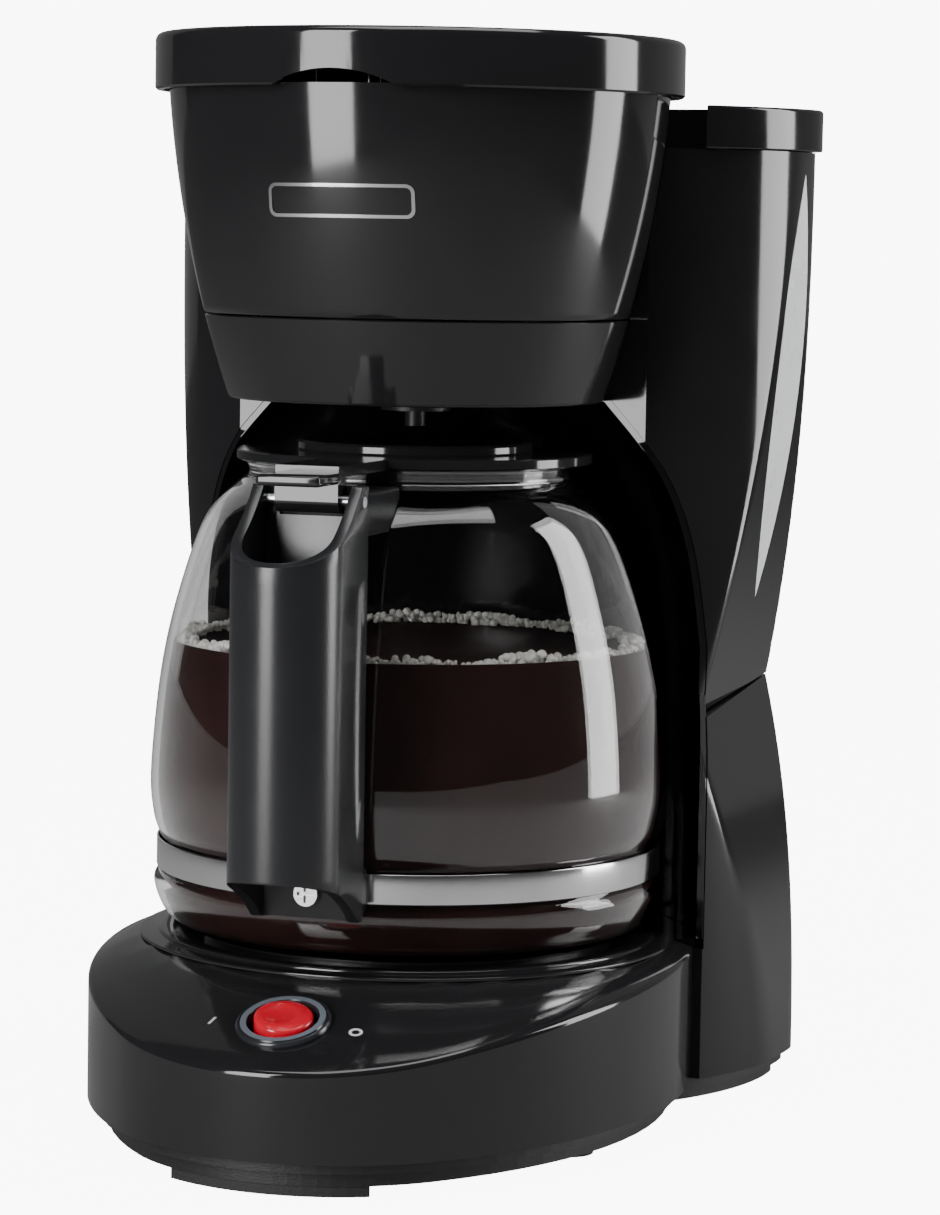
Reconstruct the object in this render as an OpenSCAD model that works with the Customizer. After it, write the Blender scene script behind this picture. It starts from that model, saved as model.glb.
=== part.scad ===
// Drip coffee maker with a warming plate, a rear water tank and a glass carafe.
// +Z is up and the front faces -Y. Outlines are drawn round the carafe's axis,
// and every sub-part is then moved back by axis_y, so the origin is at the
// middle of the footprint.

/* [Base] */
// Width of the base housing
base_w = 168; // [160:1:190]
// Distance from the carafe's axis to the base's front edge
base_front = 124; // [116:1:140]
// Radius of the base's front curve
base_nose_r = 64; // [55:1:70]
// Height of the base's side wall above the tray
deck_z = 51; // [46:1:60]
// Slope of the control panel, in degrees
panel_slope = 20; // [14:1:24]
// Height of the bottom tray's upper edge
tray_z = 13; // [11:1:16]
// Height of the feet
foot_h = 3; // [2:0.5:4]

/* [Tower] */
// Width of the tower at its top
tower_w = 197; // [188:1:220]
// Width of the tower at its waist
waist_w = 164; // [158:1:174]
// Width of the tower at its foot
tower_foot_w = 196; // [184:1:206]
// Distance from the carafe's axis to the tower's back
tower_back = 106; // [100:1:126]
// Height of the waist seam at the tower's front corner
waist_z = 114; // [108:1:122]
// Thickness of the housings
wall = 2.5; // [2:0.1:3]

/* [Brew head] */
// Height of the brew head, from its lower edge to the lid
head_h = 88; // [80:1:110]
// Radius of the brew head under the lid
head_top_r = 71.5; // [69:0.5:74]
// Radius of the brew head at its lower edge
head_low_r = 53.7; // [51:0.1:57]
// Height of the head's seam above its lower edge
head_seam_h = 24; // [20:1:28]
// Thickness of the brew lid
lid_h = 15; // [13:0.5:18]
// Thickness of the reservoir lid
tank_lid_h = 12.2; // [11:0.2:14]

/* [Carafe] */
// Largest radius of the glass
glass_r = 74.7; // [71:0.1:76]
// Height of the glass, from the plate to its rim
glass_h = 134.5; // [124:0.5:162]
// Radius of the glass at its rim
rim_r = 48.7; // [46:0.1:52]
// Thickness of the glass
glass_t = 2.2; // [1.6:0.1:3]
// Width of the carafe's handle
grip_w = 31; // [29:1:38]
// Distance from the carafe's axis to the handle's outer face
grip_reach = 117; // [112:1:119]

/* [Switch] */
// Radius of the rocker button
rocker_r = 8.6; // [7:0.1:10]
// Radius of the switch bezel
bezel_r = 13; // [12:0.5:15]
// How far the rocker turns from one side to the other, in degrees
rocker_turn = 14; // [8:1:18]

/* [Filter basket] */
// Radius of the basket's rim
basket_top_r = 54; // [48:0.5:56]
// Radius of the basket's floor
basket_low_r = 41; // [36:0.5:43]
// Height of the basket
basket_h = 72; // [60:1:73]
// Radius of the drip-stop's stem
stem_r = 3; // [2:0.1:3.6]

/* [Fits] */
// Gap between pieces that move past each other
gap = 0.4; // [0.3:0.05:0.8]
// Radial clearance of a hinge pin in its knuckle
pin_gap = 0.05; // [0.02:0.01:0.1]
// Radius of the hinge pins
pin_r = 1.5; // [1.2:0.1:2]

/* [Hidden] */
$fn = 96;
EPS = 0.01;
BIG = 600;

// The part stands with the middle of its depth over the origin.
lid_over = 2;
axis_y = (base_front - tower_back - lid_over) / 2;

// Heights that stack from the floor up.
plate_z = deck_z + 2.2;
glass_z = plate_z + 0.3;
rim_z = glass_z + glass_h;
head_z = rim_z + 18;
head_top = head_z + head_h;
lid_z = head_top + 0.3;
lid_top = lid_z + lid_h;
tank_lid_top = head_top - 2.5;
tank_lid_z = tank_lid_top - tank_lid_h;
tower_top = tank_lid_z - 0.3;
seam_z = head_z + head_seam_h;

// Driven values of the plan outlines.
split_y = 22;
base_b = base_w / 2;
nose_y = -(base_front - base_nose_r);
side_y = -10;
side_k = base_b - base_nose_r;
side_c = ((side_y - nose_y) * (side_y - nose_y) - side_k * side_k) / (2 * side_k);
side_r = base_b + side_c;
nose_a = atan2(nose_y - side_y, side_c);
upper_side_r = 64;
upper_side_y = 80;
lower_side_r = 91;
lower_side_y = 72;
tower_back_r = 260;
tower_corner_r = 22;

// Driven values of the tower's side curves.
waist_rise = 6.3;
waist_mid_z = waist_z + 7;
side_top_z = tower_top + 12;
upper_drop = (tower_w - waist_w) / 2;
upper_run = side_top_z - waist_mid_z;
upper_r = (upper_run * upper_run + upper_drop * upper_drop) / (2 * upper_drop);
lower_drop = (tower_foot_w - waist_w) / 2;
lower_r = (waist_mid_z * waist_mid_z + lower_drop * lower_drop) / (2 * lower_drop);
side_flare = 4;

// The bay that the carafe stands in.
bay_r = 84;
bay_wall = 2.2;
plate_r = 58;
ring_r = 72;
step_r = 78;

// Hinge lines of the two lids: distance behind the carafe's axis, and height.
lid_r = head_top_r + 4;
lid_axis_dz = 7.2;
lid_axis_y = head_top_r - 7.5;
lid_axis_z = lid_z + lid_axis_dz;
tank_axis_dz = 6.1;
tank_axis_y = tower_back + lid_over - tank_axis_dz;
tank_axis_z = tank_lid_z + tank_axis_dz;
tank_cut_x = lid_r + 1.5;
tank_cut_y = lid_axis_y + lid_axis_dz + 1.3;
lug_w = 9;
lid_lug_x = 24;
tank_lug_x = 34;

// The switch sits square on the sloped panel, at this distance from the axis.
switch_y = -(base_front + step_r) / 2;
switch_z = deck_z - (-switch_y - step_r) * tan(panel_slope);
switch_hole_r = rocker_r + gap + 1.5;
pivot_r = 0.8;
pivot_reach = rocker_r + 1.4;

// Heights on the carafe.
band_z = glass_z + 17.6;
band_h = 8.4;
band_r = glass_r - 2.4;
band_t = 0.6;

// The water path under the plate and up the tower.
element_r = 38;
element_tube_r = 4;
hose_r = 6;
hose_bore = element_tube_r + 0.02;
element_z = deck_z - wall - hose_r - 1.5;
riser_x = element_r;
inlet_x = -riser_x;
element_leg = 26;
stub_end = element_leg + 16;
hose_y = 92;
tank_floor = waist_mid_z + 12;

// The spout crosses under the deck and climbs beside the basket.
spout_z = tower_top - 9;
spout_r = 3.5;
spout_y = basket_top_r + 2 + spout_r + 1;
basket_z = head_z + 2.9;
mouth_z = lid_z + 2.8;
spray_z = head_top - 2.8;

// ---------- Helpers ----------

// Points on an arc about c, from angle a0 to angle a1.
function arc(c, r, a0, a1, n = 12) = [for (i = [0:n])
    let(a = a0 + (a1 - a0) * i / n) [c[0] + r * cos(a), c[1] + r * sin(a)]];

// Where two circles cross, on the left of the line from p to q.
function cross_point(p, rp, q, rq) =
    let(d = norm(q - p), a = (rp * rp - rq * rq + d * d) / (2 * d), h = sqrt(rp * rp - a * a), u = (q - p) / d)
    p + a * u + h * [-u[1], u[0]];

// The same points with X negated, in reverse order.
function mirrored(pts) = [for (i = [len(pts) - 1:-1:0]) [-pts[i][0], pts[i][1]]];

// A smooth curve through the points, n steps from each one to the next.
function curve_at(p, i, t) =
    let(last = len(p) - 1, a = p[max(i - 1, 0)], b = p[i], c = p[min(i + 1, last)], d = p[min(i + 2, last)])
    0.5 * (2 * b + (c - a) * t + (2 * a - 5 * b + 4 * c - d) * t * t + (3 * b - a - 3 * c + d) * t * t * t);
function curve(p, n = 5) = concat(
    [for (i = [0:len(p) - 2], k = [0:n - 1]) curve_at(p, i, k / n)], [p[len(p) - 1]]);

// Angle of a point seen from c.
function angle_of(c, p) = atan2(p[1] - c[1], p[0] - c[0]);

module at_axis() {
    translate([0, axis_y, 0]) children();
}

module tube(r, bore, h) {
    difference() {
        cylinder(r = r, h = h);
        translate([0, 0, -1]) cylinder(r = bore, h = h + 2);
    }
}

// ---------- Outlines and solids that several pieces share ----------

// Right half of the base's outline, from its nose to the tower.
function base_half(inset) =
    let(side = [-side_c, side_y], nose = [0, nose_y], r = side_r - inset, end = asin((split_y - side_y) / r))
    concat(arc(nose, base_nose_r - inset, -90, nose_a, 12), arc(side, r, nose_a, end, 14));

module base_plan(inset = 0) {
    right = base_half(inset);
    polygon(concat(right, mirrored(right)));
}

// Right half of the tower's outline: side curve, back corner, back curve. The
// lower tower has a wider, flatter side than the upper one.
function tower_half(inset, front, low) =
    let(r = low ? lower_side_r : upper_side_r,
        side = low ? [tower_foot_w / 2 - r, lower_side_y] : [tower_w / 2 + 1 - r, upper_side_y],
        back = [0, tower_back - tower_back_r], rs = r - inset, rb = tower_back_r - inset, rc = tower_corner_r,
        corner = cross_point(side, r - rc, back, tower_back_r - rc),
        a0 = asin((front + inset - side[1]) / rs), a1 = angle_of(side, corner), a2 = angle_of(back, corner))
    concat(arc(side, rs, a0, a1, 14), arc(corner, rc - inset, a1, a2, 8), arc(back, rb, a2, 90, 5));

module tower_plan(inset = 0, front = split_y, low = false) {
    right = tower_half(inset, front, low);
    polygon(concat(right, mirrored(right)));
}

// Solid of the tower above the waist. It follows the plan and both side curves.
module upper_solid(inset, z0, z1, front = split_y) {
    intersection() {
        translate([0, 0, z0]) linear_extrude(z1 - z0) tower_plan(inset, front);
        side_bound(tower_w / 2, upper_r, side_top_z, inset, 1);
        side_bound(tower_w / 2, upper_r, side_top_z, inset, -1);
    }
}

module lower_solid(inset, z0, z1, front = split_y) {
    intersection() {
        translate([0, 0, z0]) linear_extrude(z1 - z0) tower_plan(inset, front, true);
        side_bound(tower_foot_w / 2, lower_r, 0, inset, 1);
        side_bound(tower_foot_w / 2, lower_r, 0, inset, -1);
    }
}

// One side's curve as a wide cylinder that lies along the depth.
module side_bound(half_w, r, z, inset, side) {
    translate([0, upper_side_y, z]) rotate([0, 0, -side * side_flare]) translate([side * (half_w - r), 0, 0])
        rotate([90, 0, 0]) cylinder(r = r - inset, h = BIG, center = true, $fn = 180);
}

// Everything above the sloped seam at the waist. The seam climbs to the back.
module above_waist(lift = 0) {
    translate([0, split_y, waist_z + lift]) rotate([waist_rise, 0, 0]) translate([-BIG / 2, -BIG / 2, 0])
        cube([BIG, BIG, BIG]);
}

// Radius of the brew head's outside at a height above its lower edge.
head_mid_r = head_low_r + (head_top_r - head_low_r) * 0.4;
function head_r(h) =
    let(s = head_seam_h, a = (head_mid_r - head_low_r) / s, b = (head_top_r - head_mid_r) / (head_h - s))
    head_low_r + a * h + (b - a) / head_h * h * (h - s);

function head_side(h0, h1, inset) = [for (i = [0:8])
    let(h = h0 + (h1 - h0) * i / 8) [head_r(h) - inset, head_z + h]];

// Outline of the bay: straight low down, then a dome that closes in on the head.
bay_knee = head_z - 71;
bay_dome = [[bay_r, bay_knee], [bay_r - 4.5, bay_knee + 28], [bay_r - 13, bay_knee + 50], [head_low_r + 1, head_z]];
module bay_solid(grow, floor_z) {
    dome = [for (p = curve(bay_dome, 4)) [p[0] + grow, p[1]]];
    rotate_extrude($fn = 120) polygon(concat([[0, floor_z], [bay_r + grow, floor_z]], dome,
        [[head_low_r + 1 + grow, head_z + grow + EPS], [0, head_z + grow + EPS]]));
}

// Solid of the brew head, grown on its outside.
module head_solid(h0, h1, inset) {
    side = head_side(h0, h1, inset);
    rotate_extrude($fn = 120) polygon(concat([[0, side[0][1]]], side, [[0, side[8][1]]]));
}

// Places a child on the sloped panel, with +Z square to it.
module on_panel() {
    translate([0, switch_y, switch_z]) rotate([panel_slope, 0, 0]) children();
}

// A screw: shank along +Z, head below it.
module screw(r, length, head_r, head_h) {
    translate([0, 0, -EPS]) cylinder(r = r, h = length + EPS);
    difference() {
        translate([0, 0, -head_h]) cylinder(r = head_r, h = head_h);
        for (a = [0, 90]) rotate([0, 0, a]) translate([-head_r * 0.7, -0.5, -head_h - 1])
            cube([head_r * 1.4, 1, head_h * 0.5 + 1]);
    }
}

// ---------- Base ----------

module base_housing() {
    color([0.05, 0.05, 0.055]) at_axis() difference() {
        union() {
            difference() {
                base_shell(0, tray_z);
                base_shell(wall, tray_z - 1);
            }
            // Deck under the bay, behind the panel
            intersection() {
                translate([0, 0, deck_z - wall]) cylinder(r = bay_r - gap, h = wall, $fn = 120);
                union() {
                    base_shell(wall / 2, deck_z - wall - 1);
                    translate([-BIG / 2, split_y - 2, 0]) cube([BIG, BIG, BIG]);
                }
            }
            // Screw posts
            intersection() {
                for (x = [-46, 46]) translate([x, -78, tray_z - 3]) cylinder(r = 4, h = deck_z);
                base_shell(wall / 2, tray_z - 3);
            }
        }
        translate([0, 0, deck_z - wall - 1]) cylinder(r = ring_r - 3, h = wall + 2, $fn = 120);
        on_panel() translate([0, 0, -wall - 4]) cylinder(r = switch_hole_r, h = wall + 8);
        for (x = [-46, 46]) translate([x, -78, tray_z - 4]) cylinder(r = 1.4, h = 16);
    }
}

// The base's solid: its plan, cut by the cone of the control panel.
module base_shell(inset, z0) {
    reach = base_front + 40;
    intersection() {
        translate([0, 0, z0]) linear_extrude(deck_z + 1 - z0) base_plan(inset);
        rotate_extrude($fn = 120) polygon([[0, 0], [reach, 0],
            [reach, deck_z - inset - (reach - step_r) * tan(panel_slope)], [step_r, deck_z - inset], [0, deck_z - inset]]);
    }
}

// Bottom tray under the base and the tower, in two steps that lean inward.
module base_plate() {
    color([0.035, 0.035, 0.035]) at_axis() difference() {
        union() {
            difference() {
                tray_step(3, foot_h + 4, tray_z);
                tray_step(3 + wall, foot_h + 4 + wall, tray_z + 1);
            }
            tray_step(6, foot_h, foot_h + 4 + EPS);
        }
        tray_step(6 + wall, foot_h + wall, foot_h + 4 + wall + 2 * EPS);
        for (p = screw_places) translate([p[0], p[1], foot_h - 1]) cylinder(r = 1.9, h = 8);
        for (x = [-30:10:30], y = [10, 30]) translate([x - 2, y, foot_h - 1]) cube([4, 14, 8]);
    }
}

module tray_step(inset, z0, z1) {
    translate([0, 0, z0]) linear_extrude(z1 - z0) {
        base_plan(inset);
        tower_plan(inset, split_y - 1 - inset, true);
    }
}

post_x = 70;
post_y = tower_back - 17;
join_x = 58;
join_y = tower_back - 13.5;
join_z = waist_z - 6;
join_top = tank_floor - 1.5;
screw_places = [[-46, -78], [46, -78], [-post_x, post_y], [post_x, post_y]];

// A wide pad at the front and four round feet.
module feet() {
    color([0.02, 0.02, 0.02]) at_axis() {
        intersection() {
            linear_extrude(foot_h) base_plan(6.5);
            translate([-33, -base_front, 0]) cube([66, 14, foot_h]);
        }
        for (p = [[-62, -40], [62, -40], [-78, 70], [78, 70]]) translate([p[0], p[1], 0]) cylinder(r = 7, h = foot_h);
    }
}

module base_screws() {
    color([0.6, 0.6, 0.62]) at_axis() for (p = screw_places)
        translate([p[0], p[1], foot_h]) screw(1.35, 15, 3, foot_h * 0.7);
}

// ---------- Warming plate ----------

// Raised ring round the plate, with a lower step outside it.
module plate_ring() {
    color([0.04, 0.04, 0.045]) at_axis() difference() {
        union() {
            translate([0, 0, deck_z]) cylinder(r = step_r - 0.5, h = 0.8, $fn = 120);
            translate([0, 0, deck_z]) cylinder(r = ring_r, h = 1.8, $fn = 120);
            translate([0, 0, deck_z - wall]) cylinder(r = ring_r - 3 - gap / 2, h = wall, $fn = 120);
        }
        translate([0, 0, deck_z - wall - 1]) cylinder(r = plate_r + gap, h = wall + 4, $fn = 120);
    }
}

module warming_plate() {
    color([0.1, 0.1, 0.1]) at_axis() {
        translate([0, 0, plate_z - 1.6]) cylinder(r = plate_r, h = 1.6, $fn = 120);
        // Flange that is held under the ring
        translate([0, 0, deck_z - wall - 1.2]) difference() {
            cylinder(r = ring_r - 6, h = 1.2, $fn = 120);
            translate([0, 0, -1]) cylinder(r = plate_r - 3, h = 4, $fn = 120);
        }
        translate([0, 0, deck_z - wall - 1.2]) tube(plate_r, plate_r - 3, plate_z - 1.5 - (deck_z - wall - 1.2));
    }
}

// U-shaped heater: the water tube is cast under the heating bar.
module heating_element() {
    color([0.7, 0.71, 0.72]) at_axis() translate([0, 0, element_z]) {
        rotate([0, 0, 180]) rotate_extrude(angle = 180) translate([element_r, 0]) heater_section();
        for (x = [inlet_x, riser_x]) translate([x, 0, 0]) {
            translate([0, element_leg, 0]) rotate([90, 0, 0]) linear_extrude(element_leg) heater_section();
            translate([0, element_leg, 0]) rotate([-90, 0, 0]) tube(element_tube_r, element_tube_r - 1.3, stub_end - element_leg);
        }
    }
}

module heater_section() {
    difference() {
        union() {
            circle(r = element_tube_r);
            translate([-element_tube_r, 0]) square([2 * element_tube_r, plate_z - 1.6 - element_z]);
        }
        circle(r = element_tube_r - 1.3);
    }
}

// Strap across the heater, with a stud that pulls it up against the plate.
module element_bracket() {
    color([0.65, 0.65, 0.66]) at_axis() difference() {
        translate([-element_r - 8, -7, element_z - element_tube_r - 1.5]) cube([2 * element_r + 16, 14, 1.5]);
        translate([0, 0, element_z - element_tube_r - 3]) cylinder(r = 2.1, h = 6);
    }
}

module bracket_stud() {
    color([0.7, 0.7, 0.72]) at_axis() {
        translate([0, 0, element_z - element_tube_r - 6]) cylinder(r = 2, h = plate_z - 1.6 - (element_z - element_tube_r - 6));
        translate([0, 0, element_z - element_tube_r - 5]) cylinder(r = 4, h = 3.4, $fn = 6);
    }
}

// Disc thermostat and thermal fuse that feel the heat of the plate and the bar.
module thermostat() {
    color([0.75, 0.74, 0.7]) at_axis() translate([0, -18, plate_z - 1.6 - 9]) {
        cylinder(r = 8, h = 9);
        for (x = [-5, 5]) translate([x - 1.5, -0.4, -7]) cube([3, 0.8, 7]);
    }
}

module thermal_fuse() {
    color([0.85, 0.85, 0.8]) at_axis() translate([-14, 18, plate_z - 1.6 - 2.6]) rotate([0, 90, 0]) {
        cylinder(r = 2.5, h = 20);
        translate([0, 0, -8]) cylinder(r = 0.6, h = 36);
    }
}

// ---------- Switch ----------

module switch_bezel() {
    color([0.1, 0.1, 0.11]) at_axis() on_panel() difference() {
        union() {
            cylinder(r = bezel_r, h = 1.6);
            translate([0, 0, -wall - 1]) cylinder(r = switch_hole_r - 0.2, h = wall + 2);
        }
        translate([0, 0, -wall - 2]) cylinder(r = rocker_r + gap + 0.6, h = wall + 6);
        // Bores of the rocker's pivots
        rotate([90, 0, 0]) cylinder(r = pivot_r + pin_gap, h = 2 * pivot_reach + 0.2, center = true);
    }
}

// Housing of the switch behind the panel, with its two blades.
module switch_body() {
    color([0.12, 0.12, 0.12]) at_axis() on_panel() translate([0, 0, -wall - 1 - 9]) {
        difference() {
            translate([-rocker_r - 1.2, -rocker_r - 1.2, -5]) cube([2 * rocker_r + 2.4, 2 * rocker_r + 2.4, 14]);
            translate([0, 0, -1]) cylinder(r = rocker_r, h = 12);
        }
        for (x = [-5, 5]) translate([x - 0.4, -2.4, -11]) cube([0.8, 4.8, 7]);
    }
}

// The rocker is tipped to its OFF side at rest. It turns about the slope line.
module rocker_button() {
    color([0.8, 0.03, 0.07]) at_axis() on_panel() rotate([0, rocker_turn / 2, 0]) {
        difference() {
            intersection() {
                translate([0, 0, -3]) cylinder(r = rocker_r - 0.6, h = 7);
                translate([0, 0, -31.5]) sphere(r = 35, $fn = 160);
            }
            // Shallow dish on the left half, where a finger presses
            translate([0, 0, 42]) rotate([90, 0, 0]) cylinder(r = 40, h = 40, center = true, $fn = 160);
        }
        translate([0, 0, -8]) cylinder(r = 3, h = 6);
        rotate([90, 0, 0]) cylinder(r = pivot_r, h = 2 * pivot_reach, center = true);
    }
}

// Wires from the switch: one to the thermostat, and one towards the gland.
module switch_leads() {
    color([0.7, 0.7, 0.7]) at_axis() {
        translate([-20, switch_y + 22, 22]) rotate([-90, 0, 0]) cylinder(r = 1.4, h = 50);
        translate([20, switch_y + 22, 22]) rotate([-90, 0, 0]) cylinder(r = 1.4, h = 160);
    }
}

// ---------- Tower ----------

module tower_lower() {
    color([0.05, 0.05, 0.055]) at_axis() difference() {
        lower_solid(0, tray_z, waist_z + 40);
        difference() {
            lower_solid(wall, tray_z - 1, waist_z + 41);
            for (x = [-post_x, post_x]) translate([x, post_y, 0]) cylinder(r = 5.6, h = waist_z);
            for (x = [-join_x, join_x]) translate([x, join_y, 0]) cylinder(r = 5, h = BIG);
        }
        // Joining screws: a deep bore for the driver, then the shank's hole
        for (x = [-join_x, join_x]) translate([x, join_y, 0]) {
            cylinder(r = 3.3, h = join_z);
            cylinder(r = 1.45, h = BIG);
        }
        above_waist();
        bay_solid(bay_wall + gap / 2, deck_z - wall - 0.3);
        // Opening to the base, for the hoses and wires
        translate([-68, split_y - 5, tray_z - 1]) cube([136, 12, deck_z - tray_z + 1]);
        for (x = [-post_x, post_x]) translate([x, post_y, 0]) cylinder(r = 1.4, h = tray_z + 12);
        translate([44, tower_back - 8, 24]) rotate([-90, 0, 0]) cylinder(r = 6, h = 20);
    }
}

module tower_upper() {
    color([0.05, 0.05, 0.055]) at_axis() difference() {
        union() {
            difference() {
                upper_solid(0, waist_z - 5, tower_top);
                upper_solid(wall, waist_z - 6, tower_top + 1);
            }
            // Bosses that the joining screws bite into
            intersection() {
                upper_solid(wall / 2, waist_z - 5, join_top);
                for (x = [-join_x, join_x]) translate([x, join_y, 0]) cylinder(r = 5, h = BIG);
            }
            // Deck round the head, between the arms of the reservoir lid
            intersection() {
                upper_solid(1, tower_top - wall, tower_top);
                translate([-tank_cut_x, -BIG / 2, 0]) cube([2 * tank_cut_x, BIG / 2 + tank_cut_y, BIG]);
            }
            // Lugs of the reservoir lid's hinge
            for (s = [-1, 1]) translate([s * (tank_lug_x + lug_w / 2), 0, 0]) {
                translate([-lug_w / 2, tank_axis_y - 3.4, tower_top - 8]) cube([lug_w, 3.4, tank_axis_z - tower_top + 8]);
                translate([-lug_w / 2, tank_axis_y, tank_axis_z]) rotate([0, 90, 0]) cylinder(r = 3.4, h = lug_w);
            }
        }
        below_waist();
        bay_solid(bay_wall + gap / 2, waist_z - 20);
        head_solid(-1, head_h, -gap);
        window_cut(0.3);
        for (x = [-join_x, join_x]) translate([x, join_y, 0]) cylinder(r = 1.4, h = join_top - 1);
        for (s = [-1, 1]) translate([s * (tank_lug_x + lug_w / 2) - lug_w, tank_axis_y, tank_axis_z])
            rotate([0, 90, 0]) cylinder(r = pin_r, h = 2 * lug_w);
    }
}

module below_waist() {
    translate([0, split_y, waist_z]) rotate([waist_rise, 0, 0]) translate([-BIG / 2, -BIG / 2, -BIG])
        cube([BIG, BIG, BIG]);
}

// Curved wall behind the carafe, from the deck up to the head.
module bay_wall_panel() {
    color([0.03, 0.03, 0.032]) at_axis() intersection() {
        difference() {
            bay_solid(bay_wall, deck_z);
            bay_solid(0, deck_z - 1);
            head_solid(-1, head_h, -gap / 2);
        }
        union() {
            lower_solid(0.2, deck_z - 1, waist_z + 6);
            upper_solid(0.2, waist_z + 5.9, head_z + 2);
        }
    }
}

// A pointed-oval slot through the tower's right side, for the water window.
window_low = waist_z + 33;
window_high = tower_top - 6;
window_half = 11;
window_y = 66;
module window_cut(grow) {
    half = (window_high - window_low) / 2;
    r = (half * half + window_half * window_half) / (2 * window_half);
    translate([40, window_y, (window_high + window_low) / 2]) rotate([-1, 0, 0]) rotate([0, 90, 0])
        linear_extrude(80) intersection() {
            translate([0, r - window_half]) circle(r = r + grow, $fn = 200);
            translate([0, window_half - r]) circle(r = r + grow, $fn = 200);
        }
}

module water_window() {
    color([0.85, 0.87, 0.88, 0.6]) at_axis() intersection() {
        window_cut(0);
        difference() {
            upper_solid(0.3, waist_z + 4, tower_top);
            upper_solid(wall + 0.2, waist_z + 3, tower_top + 1);
        }
    }
}

// Water tank: fills the upper tower and wraps round the head and the bay.
module water_tank() {
    color([0.5, 0.5, 0.52, 0.6]) at_axis() difference() {
        tank_solid(0, tank_floor, tower_top - 16);
        tank_solid(2, tank_floor + 2, tower_top);
        translate([inlet_x, hose_y, tank_floor - 5]) cylinder(r = hose_bore - 1.4, h = 12);
    }
    color([0.5, 0.5, 0.52, 0.6]) at_axis() translate([inlet_x, hose_y, tank_floor - 14])
        tube(hose_bore - 0.02, hose_bore - 1.4, 14);
}

module tank_solid(inset, z0, z1) {
    difference() {
        upper_solid(wall + 0.4 + inset, z0, z1, split_y + 10);
        bay_solid(bay_wall + 1.4 + inset, waist_z - 30);
        head_solid(-2, head_h, -1.4 - inset);
        translate([riser_x, hose_y, 0]) cylinder(r = hose_r + 1.5 + inset, h = BIG);
    }
}

// Ball valve in the tank's outlet: it lets water go down only.
module check_valve() {
    color([0.8, 0.8, 0.78]) at_axis() translate([inlet_x, hose_y, tank_floor - 12]) tube(hose_bore - 1.4, 1.6, 10);
}

module valve_ball() {
    color([0.75, 0.75, 0.78]) at_axis() translate([inlet_x, hose_y, tank_floor + 0.1]) sphere(r = 2.2, $fn = 48);
}

// Silicone hoses: down from the tank to the heater, and up from it to the spout.
module hose_run(x, top) {
    bend = hose_r + 4;
    translate([x, hose_y, element_z + bend]) tube(hose_r, hose_bore, top - element_z - bend);
    translate([x, hose_y - bend, element_z + bend]) rotate([90, 0, 90])
        rotate_extrude(angle = -90) translate([bend, 0]) difference() {
            circle(r = hose_r);
            circle(r = hose_bore);
        }
    translate([x, stub_end - 12, element_z]) rotate([-90, 0, 0])
        tube(hose_r, hose_bore, hose_y - bend - stub_end + 12);
}

module inlet_hose() {
    color([0.85, 0.85, 0.83]) at_axis() hose_run(inlet_x, tank_floor - 1);
}

module riser_hose() {
    color([0.85, 0.85, 0.83]) at_axis() hose_run(riser_x, spout_z - 6);
}

module hose_clamps() {
    color([0.7, 0.7, 0.72]) at_axis() {
        translate([inlet_x, hose_y, tank_floor - 10]) tube(hose_r + 0.8, hose_r, 5);
        for (x = [inlet_x, riser_x]) translate([x, stub_end - 9, element_z]) rotate([-90, 0, 0])
            tube(hose_r + 0.8, hose_r, 5);
    }
}

// Pipe from the riser to the mouth over the spray plate.
module water_spout() {
    color([0.2, 0.2, 0.2]) at_axis() difference() {
        spout_path(spout_r, hose_bore - 0.02, 0);
        spout_path(spout_r - 1.2, spout_r - 1.2, 1.2);
    }
}

module spout_path(r, stub_r, short) {
    run = [riser_x, hose_y - spout_y];
    translate([0, spout_y, spout_z]) rotate([0, 90, atan2(run[1], run[0])]) cylinder(r = r, h = norm(run));
    translate([riser_x, hose_y, spout_z - 14 - short]) cylinder(r = stub_r, h = 14 + spout_r);
    translate([0, spout_y, spout_z - spout_r + short]) cylinder(r = r, h = mouth_z + spout_r - spout_z);
    translate([0, spout_y, mouth_z]) rotate([90, 0, 0]) cylinder(r = r - 1, h = 4.5 + short);
}

module tower_screws() {
    color([0.6, 0.6, 0.62]) at_axis() for (x = [-join_x, join_x]) translate([x, join_y, join_z])
        screw(1.4, join_top - 2 - join_z, 3, 2);
}

// Grommet in the tower's back, where the cord comes out.
module cord_gland() {
    color([0.03, 0.03, 0.03]) at_axis() translate([44, tower_back - 9.4, 24]) rotate([-90, 0, 0]) {
        tube(5.9, 3.2, 8.9);
        tube(8, 3.2, 1.2);
    }
}

// ---------- Brew head ----------

module head_lower() {
    color([0.05, 0.05, 0.055]) at_axis() difference() {
        head_solid(0, head_seam_h, 0);
        intersection() {
            head_solid(-1, head_seam_h + 1, wall);
            translate([0, 0, head_z + 2.5]) cylinder(r = BIG, h = BIG);
        }
        translate([0, 0, head_z - 1]) cylinder(r = 20, h = 5);
    }
}

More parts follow.
